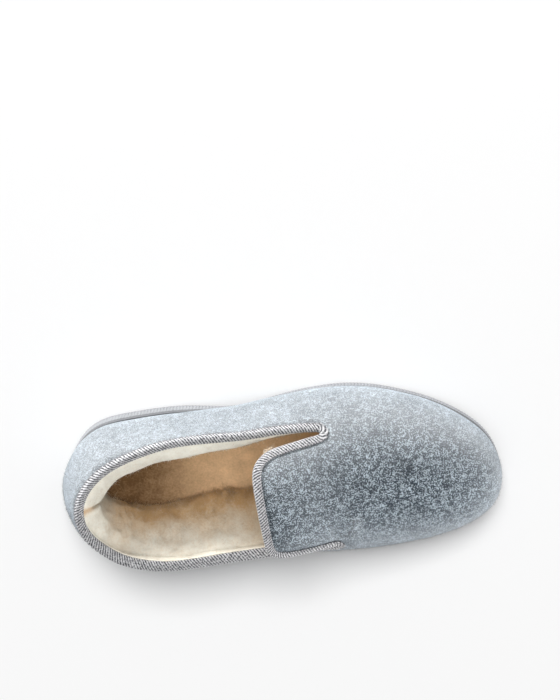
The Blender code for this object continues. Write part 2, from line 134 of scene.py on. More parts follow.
# Plan of the sole, once round from the heel back along the lateral side.
# across: share of the ball width, overhang: the felt's widest line outside the sole's edge (metres)
Plan = namedtuple("Plan", "along across overhang")
SOLE_PLAN = [
    Plan(0.000, -0.024, 0.0020),
    Plan(0.031, 0.217, 0.0012),
    Plan(0.077, 0.325, 0.0010),
    Plan(0.148, 0.379, 0.0011),
    Plan(0.280, 0.425, 0.0018),
    Plan(0.380, 0.430, 0.0050),
    Plan(0.477, 0.492, 0.0044),
    Plan(0.637, 0.572, 0.0029),
    Plan(0.763, 0.536, 0.0025),
    Plan(0.856, 0.462, 0.0019),
    Plan(0.948, 0.318, 0.0008),
    Plan(0.986, 0.176, 0.0002),
    Plan(0.999, 0.030, -0.0002),
    Plan(0.979, -0.128, 0.0008),
    Plan(0.916, -0.262, 0.0015),
    Plan(0.809, -0.362, 0.0015),
    Plan(0.655, -0.412, 0.0015),
    Plan(0.441, -0.349, 0.0040),
    Plan(0.298, -0.368, 0.0035),
    Plan(0.148, -0.420, 0.0005),
    Plan(0.076, -0.363, 0.0003),
    Plan(0.027, -0.245, 0.0008),
]

# Side view of the sole, heights in metres: arch between heel and forefoot, toe spring
SoleLevel = namedtuple("SoleLevel", "along bottom top")
SOLE_LEVELS = [
    SoleLevel(-0.020, 0.0012, 0.0105),
    SoleLevel(0.060, 0.0, 0.0102),
    SoleLevel(0.238, 0.0, 0.0098),
    SoleLevel(0.397, 0.0022, 0.0090),
    SoleLevel(0.546, 0.0, 0.0074),
    SoleLevel(0.715, 0.0, 0.0068),
    SoleLevel(0.854, 0.0016, 0.0082),
    SoleLevel(1.013, 0.0060, 0.0122),
]

# Side of the sole from the floor up: share of the thickness, step out from the plan,
# depth of its ribs (metres), and strength of its painted shade lines where it meets floor and felt
SoleSide = namedtuple("SoleSide", "rise out rib line")
SOLE_SIDE = [
    SoleSide(0.0, -0.0016, 0.0, 1.0),
    SoleSide(0.08, -0.0006, 0.0, 1.0),
    SoleSide(0.16, -0.0002, 0.0003, 0.4),
    SoleSide(0.30, 0.0, 0.0005, 0.0),
    SoleSide(0.45, 0.0, 0.0005, 0.0),
    SoleSide(0.60, 0.0, 0.0005, 0.0),
    SoleSide(0.74, -0.0002, 0.0003, 0.0),
    SoleSide(0.78, -0.0006, 0.0, 0.8),
    SoleSide(0.82, -0.0010, 0.0, 1.0),
    SoleSide(1.0, -0.0010, 0.0, 1.0),
]

# Crown line of vamp and flap, height as a share of the instep height
Crown = namedtuple("Crown", "along height")
CROWN = [
    Crown(0.397, 1.020),
    Crown(0.496, 0.930),
    Crown(0.616, 0.780),
    Crown(0.735, 0.670),
    Crown(0.874, 0.575),
    Crown(1.013, 0.500),
]

# Collar edge from the lateral notch round the heel to the medial notch.
# across: share of the ball width, height: share of the heel height
Collar = namedtuple("Collar", "along across height")
COLLAR = [
    Collar(0.512, 0.497, 0.877),
    Collar(0.423, 0.477, 0.918),
    Collar(0.324, 0.458, 0.943),
    Collar(0.255, 0.433, 0.951),
    Collar(0.188, 0.372, 0.951),
    Collar(0.120, 0.280, 0.959),
    Collar(0.063, 0.146, 0.975),
    Collar(0.038, -0.028, 0.984),
    Collar(0.052, -0.189, 0.975),
    Collar(0.080, -0.283, 0.959),
    Collar(0.128, -0.374, 0.951),
    Collar(0.212, -0.421, 0.951),
    Collar(0.288, -0.406, 0.951),
    Collar(0.387, -0.365, 0.934),
    Collar(0.474, -0.336, 0.902),
    Collar(0.555, -0.302, 0.885),
]

# Wool pile behind the quarters, from the lateral notch round the heel to the medial one (metres):
# depth at rim and base, distance of its start from the cut edge, radius of its roll there,
# and thickness of its edge that the binding takes in with the felt
Pile = namedtuple("Pile", "way rim base start roll bound")
QUARTER_PILE = [
    Pile(0.00, 0.0025, 0.0040, 0.0010, 0.0040, 0.0004),
    Pile(0.10, 0.0038, 0.0060, 0.0006, 0.0040, 0.0008),
    Pile(0.15, 0.0056, 0.0080, 0.0006, 0.0040, 0.0008),
    Pile(0.20, 0.0080, 0.0090, 0.0006, 0.0040, 0.0008),
    Pile(0.30, 0.0100, 0.0110, 0.0006, 0.0040, 0.0008),
    Pile(0.36, 0.0140, 0.0150, 0.0006, 0.0045, 0.0010),
    Pile(0.44, 0.0150, 0.0160, 0.0006, 0.0050, 0.0010),
    Pile(0.51, 0.0135, 0.0175, 0.0010, 0.0110, 0.0014),
    Pile(0.60, 0.0120, 0.0260, 0.0048, 0.0170, 0.0028),
    Pile(0.70, 0.0100, 0.0240, 0.0054, 0.0190, 0.0030),
    Pile(0.80, 0.0100, 0.0315, 0.0054, 0.0190, 0.0030),
    Pile(0.90, 0.0100, 0.0350, 0.0054, 0.0190, 0.0024),
    Pile(1.00, 0.0050, 0.0100, 0.0054, 0.0060, 0.0004),
]
PILE_WAYS = [row.way for row in QUARTER_PILE]
VAMP_PILE = 0.0045
FLAP_PILE = 0.0030
# How late the depth changes from base to rim
PILE_GROWTH = 1.3

# Soft creases of the felt: a trough with a ridge on each side, from start to end over the plan.
# along and across as in the other tables, width and depth in metres; a negative depth is a ridge
Crease = namedtuple("Crease", "start_along start_across end_along end_across width depth")
CREASES = [
    Crease(0.640, 0.330, 0.648, -0.120, 0.0070, 0.0006),
    Crease(0.652, -0.235, 0.660, -0.090, 0.0055, -0.0008),
    Crease(0.735, 0.300, 0.742, -0.050, 0.0110, 0.0005),
    Crease(0.400, 0.560, 0.385, 0.400, 0.0090, 0.0008),
    Crease(0.270, 0.500, 0.262, 0.360, 0.0110, 0.0007),
    Crease(0.150, 0.450, 0.165, 0.300, 0.0100, 0.0006),
    Crease(0.330, -0.480, 0.338, -0.330, 0.0100, 0.0008),
    Crease(0.200, -0.520, 0.205, -0.380, 0.0110, 0.0006),
]


# Curves

def spline(points, closed=False):
    """Cubic curve through the points: a function of the knot value, and the knots."""
    points = np.asarray(points, float)
    count = len(points)
    following = np.roll(points, -1, axis=0)
    steps = np.linalg.norm(following - points, axis=1) ** 0.5
    if not closed:
        steps = steps[:-1]
    knots = np.concatenate([[0.0], np.cumsum(steps)])
    matrix = np.zeros((count, count))
    right = np.zeros_like(points)
    for i in range(count):
        if not closed and i in (0, count - 1):
            matrix[i, i] = 1.0
            continue
        before, after = steps[i - 1], steps[i]
        matrix[i, i - 1] += before
        matrix[i, i] += 2.0 * (before + after)
        matrix[i, (i + 1) % count] += after
        right[i] = 6.0 * ((following[i] - points[i]) / after - (points[i] - points[i - 1]) / before)
    bends = np.linalg.solve(matrix, right)

    def at(value):
        part = np.clip(np.searchsorted(knots, value, side="right") - 1, 0, len(steps) - 1)
        end = (part + 1) % count
        step = steps[part][..., None]
        u = (value - knots[part])[..., None]
        v = step - u
        curve = (bends[part] * v ** 3 + bends[end] * u ** 3) / (6.0 * step)
        curve += (points[part] / step - bends[part] * step / 6.0) * v
        curve += (points[end] / step - bends[end] * step / 6.0) * u
        return curve

    return at, knots


def column_along(rows, column):
    """Smooth function of the place along the shoe through one column of a table."""
    at, knots = spline([(row.along * SHOE_LENGTH, getattr(row, column)) for row in rows])
    samples = at(np.linspace(0.0, knots[-1], PLAN_SAMPLES))
    return lambda x: np.interp(x, samples[:, 0], samples[:, 1])


def arc_lengths(points):
    """Distance along a line of points, from its first point."""
    return np.concatenate([[0.0], np.cumsum(np.linalg.norm(np.diff(points, axis=0), axis=1))])


def closed_line(points):
    """Line of points with its first point again at its end."""
    return np.vstack([points, points[:1]])


def read_at(wanted, lengths, values):
    """Rows of values read at wanted distances along a line."""
    return np.array([np.interp(wanted, lengths, column) for column in np.atleast_2d(values.T)]).T


def spread_evenly(line, values, count):
    """Values read at equal distances along a line of points."""
    lengths = arc_lengths(line)
    return read_at(np.linspace(0.0, lengths[-1], count + 1), lengths, values)


def unit(vectors):
    """Vectors made one long, row by row."""
    return vectors / np.maximum(np.linalg.norm(vectors, axis=-1, keepdims=True), 1e-12)


def smooth_step(value):
    """Soft rise from 0 to 1."""
    value = np.clip(value, 0.0, 1.0)
    return value * value * (3.0 - 2.0 * value)


def bell(value):
    """Soft hump: 1 at 0, fading on both sides."""
    return np.exp(-value ** 2)


# Plan of sole and felt, sampled closely once round from the heel back

def plan_samples():
    """Place on the sole's edge, outward normal, and widest line of the felt."""
    scales = np.array([SHOE_LENGTH, BALL_WIDTH, 1.0])
    at, knots = spline(np.array(SOLE_PLAN) * scales, closed=True)
    samples = at(np.linspace(0.0, knots[-1], PLAN_SAMPLES, endpoint=False))
    place = samples[:, :2]
    ahead = unit(np.roll(place, -1, axis=0) - np.roll(place, 1, axis=0))
    normal = np.column_stack([-ahead[:, 1], ahead[:, 0]])
    widest = place + normal * samples[:, 2:]
    heel = int(np.argmin(widest[:, 0]))
    return [np.roll(table, -heel, axis=0) for table in (place, normal, widest)]


SOLE_EDGE, EDGE_NORMAL, WIDEST = plan_samples()
CENTRE = (WIDEST.min(axis=0) + WIDEST.max(axis=0)) / 2.0
TOE = int(np.argmax(WIDEST[:, 0]))
LATERAL_SIDE = np.arange(0, TOE + 1)
MEDIAL_SIDE = np.arange(PLAN_SAMPLES, TOE - 1, -1)

sole_curve = column_along(SOLE_LEVELS, "bottom")
sole_top = column_along(SOLE_LEVELS, "top")
crown_share = column_along(CROWN, "height")


def sole_bottom(x):
    """Underside of the sole: flat on the floor at heel and forefoot, lifted at arch and toe."""
    return np.maximum(sole_curve(x), 0.0)


def plan_number(x, side):
    """Fractional sample number where the widest line of one side passes x."""
    return np.interp(x, WIDEST[side % PLAN_SAMPLES, 0], side)


def plan_at(table, number):
    """Reading of a plan table at fractional sample numbers."""
    number = np.asarray(number, float)
    low = np.floor(number).astype(int)
    part = (number - low)[..., None]
    return table[low % PLAN_SAMPLES] * (1.0 - part) + table[(low + 1) % PLAN_SAMPLES] * part


def inset_sides(table, x, inset):
    """Lateral and medial points of a plan table at x, moved inward."""
    numbers = [plan_number(x, side) for side in (LATERAL_SIDE, MEDIAL_SIDE)]
    return [plan_at(table, number) - plan_at(EDGE_NORMAL, number) * inset for number in numbers]


def placed(points):
    """Table coordinates moved to the part's own origin."""
    points = np.array(points, float)
    points[:, :2] -= CENTRE
    return points


# Surface of the upper

def wall_foot(number):
    """Margin, curl and widest point of the felt at one place of the plan, from the inside outward."""
    widest = plan_at(WIDEST, number)
    normal = plan_at(EDGE_NORMAL, number)
    turns = np.linspace(0.0, math.pi / 2.0, CURL_STEPS + 1)
    insets = np.concatenate([
        [MARGIN_WIDTH, (MARGIN_WIDTH + CURL_REACH) / 2.0],
        CURL_REACH * (1.0 - np.sin(turns)),
    ])
    rises = np.concatenate([[0.0, 0.0], CURL_RISE * (1.0 - np.cos(turns))])
    flat = widest - normal * insets[:, None]
    return np.column_stack([flat, sole_top(flat[:, 0]) + FIT_GAP + rises])


def station_numbers(share):
    """Lateral and medial plan numbers: share 0 at the notches, 1 at the toe tip, -1 at the flap's rear."""
    numbers = []
    for notch, side in ((NOTCH_LATERAL, LATERAL_SIDE), (NOTCH_MEDIAL, MEDIAL_SIDE)):
        start = plan_number(notch * SHOE_LENGTH, side)
        if share < 0.0:
            numbers.append(plan_number(notch * SHOE_LENGTH + share * FLAP_LENGTH, side))
        else:
            numbers.append(start + (TOE - start) * share)
    return numbers


def crown_height(x):
    """Height of the vamp's crown, rounded down to the widest line at the toe tip."""
    tip = WIDEST[TOE, 0]
    start = TOE_ROUND_START * SHOE_LENGTH
    low = sole_top(tip) + FIT_GAP + CURL_RISE
    closing = np.clip((x - start) / (tip - start), 0.0, 1.0)
    rounding = (1.0 - closing ** TOE_ROUND_POWER) ** (1.0 / TOE_ROUND_POWER)
    return low + (crown_share(x) * INSTEP_HEIGHT - low) * rounding


def arch_points(lateral, medial, turns):
    """Points of the arch over the foot between a lateral and a medial widest point."""
    turns = np.asarray(turns, float)
    angles = turns * math.pi / 2.0
    power = 2.0 / ARCH_SQUARENESS
    sides = np.sign(np.cos(angles)) * np.abs(np.cos(angles)) ** power
    rises = np.abs(np.sin(angles)) ** power
    middle = (lateral[:2] + medial[:2]) / 2.0
    flat = middle + sides[:, None] * (lateral[:2] - medial[:2]) / 2.0
    feet = np.where(turns < 1.0, lateral[2], medial[2])
    return np.column_stack([flat, feet + (crown_height(middle[0]) - feet) * rises])


def slit_turn(lateral, medial, notch_turn):
    """Turn that the slit's width takes up on the arch at its notch."""
    small = 0.01
    ends = arch_points(lateral, medial, [notch_turn, notch_turn + small])
    return small * SLIT_WIDTH / np.linalg.norm(ends[1] - ends[0])


def flap_point(back, across, first_turn, last_turn):
    """Point of the flap: back 0 at the notches and 1 at the rear, across -1 lateral and 1 medial."""
    lateral, medial = (wall_foot(number)[-1] for number in station_numbers(-back))
    outward = (lateral - medial) / np.linalg.norm(lateral - medial)
    spread = outward * FLAP_SPREAD * back ** FLAP_SPREAD_POWER
    start = first_turn + (FLAP_REAR_TURN_LATERAL - first_turn) * back
    end = last_turn + (2.0 - FLAP_REAR_TURN_MEDIAL - last_turn) * back
    turn = (start + end) / 2.0 + across * (end - start) / 2.0
    lift = FLAP_LIFT * back ** FLAP_LIFT_POWER * max(across, 0.0) ** 2
    rise = np.array([0.0, math.sin(FLAP_LIFT_SLANT), math.cos(FLAP_LIFT_SLANT)])
    return arch_points(lateral + spread, medial - spread, [turn])[0] + lift * rise


class Surface:
    """Open surface gathered as vertices and quads, with the depth of the wool behind each vertex."""

    def __init__(self):
        self.vertices = []
        self.faces = []
        self.pile = []

    def add(self, points, pile):
        start = len(self.vertices)
        self.vertices.extend(tuple(point) for point in points)
        self.pile.extend(np.broadcast_to(pile, len(points)))
        return list(range(start, start + len(points)))

    def join(self, rows, turned):
        """Quads between neighbouring rows; turned rows run the other way round."""
        for row_a, row_b in zip(rows, rows[1:]):
            if turned:
                row_a, row_b = row_b, row_a
            for i in range(len(row_a) - 1):
                self.faces.append((row_a[i], row_a[i + 1], row_b[i + 1], row_b[i]))

    def points(self, numbers):
        return np.array([self.vertices[number] for number in numbers])


NO_PILE = np.full(FOOT_ROWS - 1, np.nan)


def add_vamp(surface):
    """Arches from the notches to the toe tip; returns their rows and the turns of the crown's columns."""
    lateral, medial = (wall_foot(number)[-1] for number in station_numbers(0.0))
    gap_lateral = slit_turn(lateral, medial, NOTCH_TURN_LATERAL)
    gap_medial = slit_turn(medial, lateral, NOTCH_TURN_MEDIAL)
    crown_turns = np.linspace(NOTCH_TURN_LATERAL + gap_lateral, 2.0 - NOTCH_TURN_MEDIAL - gap_medial,
                              CROWN_STEPS + 1)
    slit = np.linspace(0.0, 1.0, SLIT_STEPS + 1)[1:-1]
    turns = np.concatenate([
        NOTCH_TURN_LATERAL * WALL_SHARES[1:],
        NOTCH_TURN_LATERAL + slit * gap_lateral,
        crown_turns,
        2.0 - NOTCH_TURN_MEDIAL - gap_medial + slit * gap_medial,
        2.0 - NOTCH_TURN_MEDIAL * WALL_SHARES[:0:-1],
    ])
    round_end = np.outer(SLIT_ROUND * np.sin(math.pi * slit), [1.0, 0.0, 0.0])
    pile = np.concatenate([NO_PILE, np.full(len(turns) + 2, VAMP_PILE), NO_PILE])
    rows = []
    for station in range(VAMP_STATIONS + 1):
        even = station / VAMP_STATIONS
        share = LAST_STATION * (even + math.sin(math.pi / 2.0 * even)) / 2.0
        lateral_foot, medial_foot = (wall_foot(number) for number in station_numbers(share))
        arch = arch_points(lateral_foot[-1], medial_foot[-1], turns)
        if station == 0:
            arch[WALL_STEPS:WALL_STEPS + SLIT_STEPS - 1] += round_end
            arch[-WALL_STEPS - SLIT_STEPS + 1:-WALL_STEPS] += round_end
        rows.append(surface.add(np.vstack([lateral_foot, arch, medial_foot[::-1]]), pile))
    surface.join(rows, turned=False)
    return rows, crown_turns


def plain_faces(faces):
    """Faces as tuples, with the doubled corner of a triangle left out."""
    return [tuple(dict.fromkeys(face)) for face in faces]


def close_toe(surface, row):
    """Front of the toe: the last arch's two halves joined across."""
    half = len(row) // 2
    surface.faces += plain_faces((row[i], row[i + 1], row[-2 - i], row[-1 - i]) for i in range(half))


def side_profile(points):
    """Share of the lean against share of the height along the side of an arch."""
    lean = np.linalg.norm(points[:, :2] - points[0, :2], axis=1)
    rise = points[:, 2] - points[0, 2]
    return rise / rise[-1], lean / lean[-1]


def pile_column(way, column):
    """Reading of the pile's table at ways along the quarters."""
    return np.interp(way, PILE_WAYS, [getattr(row, column) for row in QUARTER_PILE])


def quarter_pile(way, height):
    """Depth of the wool behind the quarter, from its base (height 0) to its rim (height 1)."""
    rim, base = pile_column(way, "rim"), pile_column(way, "base")
    return base + (rim - base) * height ** PILE_GROWTH


def add_quarters(surface, notch_arch):
    """Walls from the lateral notch round the heel to the medial notch; returns their ribs."""
    lateral_rib = notch_arch[:SIDE_ROWS]
    medial_rib = notch_arch[:-SIDE_ROWS - 1:-1]
    profiles = [side_profile(surface.points(rib)[FOOT_ROWS - 1:]) for rib in (lateral_rib, medial_rib)]
    ends = [surface.vertices[rib[-1]] for rib in (lateral_rib, medial_rib)]
    scales = np.array([SHOE_LENGTH, BALL_WIDTH, HEEL_HEIGHT])
    collar = list(np.array(COLLAR) * scales)
    at, knots = spline([ends[0]] + collar + [ends[1]])
    edge = at(np.linspace(0.0, knots[-1], PLAN_SAMPLES))
    edge = spread_evenly(edge, edge, QUARTER_STATIONS)
    lateral, medial = station_numbers(0.0)
    numbers = np.linspace(lateral, medial - PLAN_SAMPLES, PLAN_SAMPLES)
    numbers = spread_evenly(plan_at(WIDEST, numbers), numbers, QUARTER_STATIONS)[:, 0]
    height = WALL_SHARES
    ribs = [lateral_rib]
    for station in range(1, QUARTER_STATIONS):
        way = station / QUARTER_STATIONS
        foot = wall_foot(numbers[station])
        base, top = foot[-1], edge[station]
        weights = [max(0.0, 1.0 - near / NOTCH_BLEND) ** 2 for near in (way, 1.0 - way)]
        lean = (1.0 - sum(weights)) * height ** 2
        for weight, profile in zip(weights, profiles):
            lean = lean + weight * np.interp(height, *profile)
        flat = base[:2] + lean[1:, None] * (top[:2] - base[:2])
        wall = np.column_stack([flat, base[2] + height[1:] * (top[2] - base[2])])
        pile = np.concatenate([NO_PILE, quarter_pile(way, height)])
        ribs.append(surface.add(np.vstack([foot, wall]), pile))
    ribs.append(medial_rib)
    surface.join(ribs, turned=True)
    return ribs


def add_flap(surface, crown_row, crown_turns):
    """Tongue flap back from the notches, with rounded rear corners; returns its rows."""
    pull = 1.0 / (FLAP_CORNER_POWER + 1.0)
    rows = [crown_row]
    for row in range(1, FLAP_ROWS + 1):
        back = row / FLAP_ROWS
        points = []
        for across in np.linspace(-1.0, 1.0, CROWN_STEPS + 1):
            inward = across * (1.0 - pull * back ** FLAP_CORNER_POWER)
            reach = back * (1.0 - pull * abs(across) ** FLAP_CORNER_POWER)
            points.append(flap_point(reach, inward, crown_turns[0], crown_turns[-1]))
        rows.append(surface.add(points, FLAP_PILE))
    surface.join(rows, turned=True)
    return rows


def vertex_normals(vertices, faces):
    """Normals of a mesh of quads, each vertex the mean of its faces."""
    corners = vertices[faces]
    across = np.cross(corners[:, 2] - corners[:, 0], corners[:, 3] - corners[:, 1])
    normals = np.zeros_like(vertices)
    for column in range(4):
        np.add.at(normals, faces[:, column], across)
    return unit(normals)


# Shift of the noise for each step of its seed
NOISE_STEPS = (7.13, 3.71, 5.37)


def noise_at(points, cell, seed):
    """Smooth noise from about -1 to 1 at each point, with that size of cell in metres."""
    shift = Vector([seed * step for step in NOISE_STEPS])
    return np.array([noise.noise(Vector(point) / cell + shift) for point in points])


def plan_distance(points, crease):
    """Distance over the plan from each point to a crease's line."""
    scale = np.array([SHOE_LENGTH, BALL_WIDTH])
    start = np.array([crease.start_along, crease.start_across]) * scale - CENTRE
    end = np.array([crease.end_along, crease.end_across]) * scale - CENTRE
    way = end - start
    share = np.clip((points[:, :2] - start) @ way / (way @ way), 0.0, 1.0)
    return np.linalg.norm(points[:, :2] - start - share[:, None] * way, axis=1)


def outer_depth(way):
    """Depth of the tape's outer leg: way 0 to 1 runs along the collar, other ways are on slits and flap."""
    blend = np.clip(np.minimum(way, 1.0 - way) / TAPE_BLEND, 0.0, 1.0)
    return TAPE_FLAP_DEPTH + (TAPE_COLLAR_DEPTH - TAPE_FLAP_DEPTH) * blend


def pressed(edge_distance):
    """Thickness of the felt at a distance from its cut edge."""
    swell = smooth_step((edge_distance - PRESSED_DEPTH) / PRESSED_BLEND)
    return FELT * (PRESSED_FELT + (1.0 - PRESSED_FELT) * swell)


# Slow waves of the felt: cells in metres, and height of the fine waves against the coarse ones
WAVE_CELL = 0.030
FINE_WAVE_CELL = 0.011
FINE_WAVE_SHARE = 0.5
# Ridge beside a crease: share of the crease's depth, and place in widths of the crease
RIDGE_SHARE = 0.45
RIDGE_PLACE = 1.9
# Waves and creases fade out towards the cut edge over this distance
RELIEF_FADE = 0.006
# Beside the tape: place of the groove, width of its far side and of its line, share of its depth
# that line and swell take, place and width of the swell
GROOVE_PLACE = 0.0006
GROOVE_SIDE = 0.0016
GROOVE_LINE = 0.0008
GROOVE_SHARE = 0.5
SWELL_PLACE = 0.0042
SWELL_WIDTH = 0.0020
# Share of the relief that is left on the foot of the wall
FOOT_RELIEF = 0.2
# Painted shade in the groove beside the tape, a darker line on the felt: place beside it, and width
TAPE_LINE_PLACE = 0.0005
TAPE_LINE_WIDTH = 0.0008
# Painted sheen, the felt drawn paler where it is steep for the light on its sides: steepness where it starts
# and over which it grows, and its share on ridges, a painted highlight there
PAINTED_SHEEN_START = 0.1
PAINTED_SHEEN_BLEND = 0.75
RIDGE_PALENESS = 0.6
# Parts of each step of the cut edge, for finding the distance from it
EDGE_PARTS = 4


def felt_relief(points, edge_distance, tape_depth, felt):
    """How far the felt stands out: slow waves, creases, and the groove where the binding pulls it in."""
    relief = felt.wave_height * noise_at(points, WAVE_CELL, seed=1)
    relief += felt.wave_height * FINE_WAVE_SHARE * noise_at(points, FINE_WAVE_CELL, seed=2)
    for crease in CREASES:
        near = plan_distance(points, crease) / crease.width
        relief -= crease.depth * bell(near)
        relief += RIDGE_SHARE * crease.depth * bell(near - RIDGE_PLACE)
    beside = edge_distance - tape_depth
    relief *= smooth_step(edge_distance / RELIEF_FADE)
    relief -= felt.groove_depth * (1.0 - smooth_step((beside - GROOVE_PLACE) / GROOVE_SIDE))
    relief -= GROOVE_SHARE * felt.groove_depth * bell((beside - GROOVE_PLACE) / GROOVE_LINE)
    relief += GROOVE_SHARE * felt.groove_depth * bell((beside - SWELL_PLACE) / SWELL_WIDTH)
    return relief


class FeltForm:
    """Outer surface of the felt, with what the other pieces read from it."""

    def __init__(self, felt):
        surface = Surface()
        arches, crown_turns = add_vamp(surface)
        close_toe(surface, arches[-1])
        notch_arch = arches[0]
        ribs = add_quarters(surface, notch_arch)
        crown = SIDE_ROWS + SLIT_STEPS - 1
        flap = add_flap(surface, notch_arch[crown:-crown], crown_turns)
        self.edge_loop = [rib[-1] for rib in ribs]
        self.edge_loop += notch_arch[-crown:-SIDE_ROWS][::-1]
        self.edge_loop += [row[-1] for row in flap]
        self.edge_loop += flap[-1][-2:0:-1]
        self.edge_loop += [row[0] for row in flap[::-1]]
        self.edge_loop += notch_arch[SIDE_ROWS:crown][::-1]
        self.pile = np.array(surface.pile)
        self.faces = np.array([face if len(face) == 4 else face + face[-1:] for face in surface.faces])
        plain = placed(surface.vertices)
        self.edge_distance, nearest = self.distances(plain, plain[self.edge_loop])
        self.way = nearest / QUARTER_STATIONS
        self.tape_depth = outer_depth(self.way)
        # Painted shade: a darker line on the felt in the groove beside the tape
        self.seam = bell((self.edge_distance - self.tape_depth - TAPE_LINE_PLACE) / TAPE_LINE_WIDTH)
        relief = felt_relief(plain, self.edge_distance, self.tape_depth, felt)
        relief[np.isnan(self.pile)] *= FOOT_RELIEF
        self.plain_normals = vertex_normals(plain, self.faces)
        # Painted sheen: steep sides drawn paler, and ridges too as painted highlight
        steepness = np.linalg.norm(self.plain_normals[:, :2], axis=1)
        self.brushed = smooth_step((steepness - PAINTED_SHEEN_START) / PAINTED_SHEEN_BLEND)
        for crease in CREASES:
            if crease.depth < 0.0:
                pale = RIDGE_PALENESS * bell(plan_distance(plain, crease) / crease.width)
                self.brushed = np.maximum(self.brushed, pale)
        self.vertices = plain + self.plain_normals * relief[:, None]
        self.normals = vertex_normals(self.vertices, self.faces)
        self.tree = BVHTree.FromPolygons(self.vertices.tolist(), self.quads())

    @staticmethod
    def distances(points, line):
        """Distance of each point from a closed line, and the number of the nearest point on it."""
        tree = KDTree(len(line) * EDGE_PARTS)
        ahead = np.roll(line, -1, axis=0)
        for step in range(EDGE_PARTS):
            for number, point in enumerate(line + (ahead - line) * step / EDGE_PARTS):
                tree.insert(point, step * len(line) + number)
        tree.balance()
        found = [tree.find(point) for point in points]
        return np.array([hit[2] for hit in found]), np.array([hit[1] % len(line) for hit in found])

    def quads(self):
        return plain_faces(self.faces.tolist())

    def read(self, point):
        """Nearest point of the felt's outer surface and its smooth normal."""
        place, _, number, _ = self.tree.find_nearest(point)
        corners = list(dict.fromkeys(self.faces[number].tolist()))
        weights = poly_3d_calc([Vector(self.vertices[corner]) for corner in corners], place)
        normal = np.array(weights) @ self.normals[corners]
        return np.array(place), normal / np.linalg.norm(normal)


@functools.lru_cache(maxsize=1)
def felt_form():
    return FeltForm(bpy.context.scene.slipper_felt)


# Meshes

def scene_collection(name):
    """Collection of that name in the scene, made at its first use."""
    if name not in bpy.data.collections:
        bpy.context.scene.collection.children.link(bpy.data.collections.new(name))
    return bpy.data.collections[name]


def lay_normals(piece, normals):
    """Shades loose fibres like the surface that they lie on."""
    piece.data.normals_split_custom_set_from_vertices(normals.tolist())


def new_piece(name, vertices, faces, material, smooth=True):
    """Mesh object in the slipper's collection, riding on the one body."""
    mesh = bpy.data.meshes.new(name)
    mesh.from_pydata(np.asarray(vertices, float).tolist(), [], faces)
    mesh.validate()
    mesh.materials.append(material)
    if smooth:
        mesh.shade_smooth()
    piece = bpy.data.objects.new(name, mesh)
    scene_collection(SHOE_COLLECTION).objects.link(piece)
    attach(piece, BODY)
    return piece


def store(piece, name, values):
    """Keeps one number for each vertex, for the material to read."""
    attribute = piece.data.attributes.new(name, "FLOAT", "POINT")
    attribute.data.foreach_set("value", np.asarray(values, np.float32))


def ring_faces(ring_count, size, closed_rings, closed_ring=True):
    """Quads between neighbouring rings of points."""
    rings = np.arange(ring_count if closed_rings else ring_count - 1)[:, None]
    points = np.arange(size if closed_ring else size - 1)[None, :]
    a, b = rings * size, (rings + 1) % ring_count * size
    j = (points + 1) % size
    return np.stack([a + points, a + j, b + j, b + points], axis=-1).reshape(-1, 4)


def capped_rings(ring_count, size, start=0):
    """Quads between neighbouring closed rings, and a face over each end."""
    last = start + (ring_count - 1) * size
    faces = (ring_faces(ring_count, size, closed_rings=False) + start).tolist()
    faces.append(list(range(start, start + size))[::-1])
    faces.append(list(range(last, last + size)))
    return faces


def scatter(vertices, normals, faces, count, rng):
    """Random points spread evenly over quads, with their smooth normals and face numbers."""
    corners = vertices[faces]
    areas = np.linalg.norm(np.cross(corners[:, 2] - corners[:, 0], corners[:, 3] - corners[:, 1]), axis=1)
    chosen = rng.choice(len(faces), size=count, p=areas / areas.sum())
    u, v = rng.random((2, count, 1))
    weights = np.concatenate([(1 - u) * (1 - v), u * (1 - v), u * v, (1 - u) * v], axis=1)[..., None]
    points = (vertices[faces[chosen]] * weights).sum(axis=1)
    return points, unit((normals[faces[chosen]] * weights).sum(axis=1)), chosen


# Strand of wool: two points at its root, two half way, one at its tip.
# Side of each, share of the way to the tip that its tone follows, and width left half way
STRAND_SIDES = (-1.0, 1.0, 1.0, -1.0, 0.0)
STRAND_SHARES = (0.0, 0.0, 0.55, 0.55, 1.0)
STRAND_POINTS = len(STRAND_SHARES)
STRAND_TAPER = 0.7


def strands(points, ways, sides, lengths, widths, bends):
    """Vertices and faces of thin tapering strips, each of two lengths."""
    half = sides * widths[:, None] / 2.0
    narrow = half * STRAND_TAPER
    middle = points + ways * lengths[:, None] * 0.5
    tips = points + (ways + bends) * lengths[:, None]
    vertices = np.stack([points - half, points + half, middle + narrow, middle - narrow, tips], axis=1)
    start = np.arange(len(points))[:, None] * STRAND_POINTS
    quads = start + np.array([0, 1, 2, 3])
    ends = start + np.array([3, 2, 4])
    return vertices.reshape(-1, 3), quads.tolist() + ends.tolist()


# Map for baking loose fibres: margin, span, and half the width of a fibre on it
MAP_MARGIN = 0.04
MAP_SPAN = 0.92
MAP_STRIP = 0.01


def strand_map(piece, tint, sides, heights):
    """Map for baking loose fibres: across by their tint, up along their length."""
    layer = piece.data.uv_layers.new(name="OFBake")
    corners = np.zeros(len(piece.data.loops), np.int32)
    piece.data.loops.foreach_get("vertex_index", corners)
    across = MAP_MARGIN + MAP_SPAN * tint + MAP_STRIP * np.tile(sides, len(tint) // len(sides))
    layer.data.foreach_set("uv", np.column_stack([across, heights])[corners].astype(np.float32).ravel())


# Thread: a direction that no path takes, how late it tapers, width left at its ends, and sides
THREAD_SLANT = (0.31, 0.52, 0.79)
THREAD_TAPER = 6
THREAD_END = 0.15
THREAD_SIDES = 6


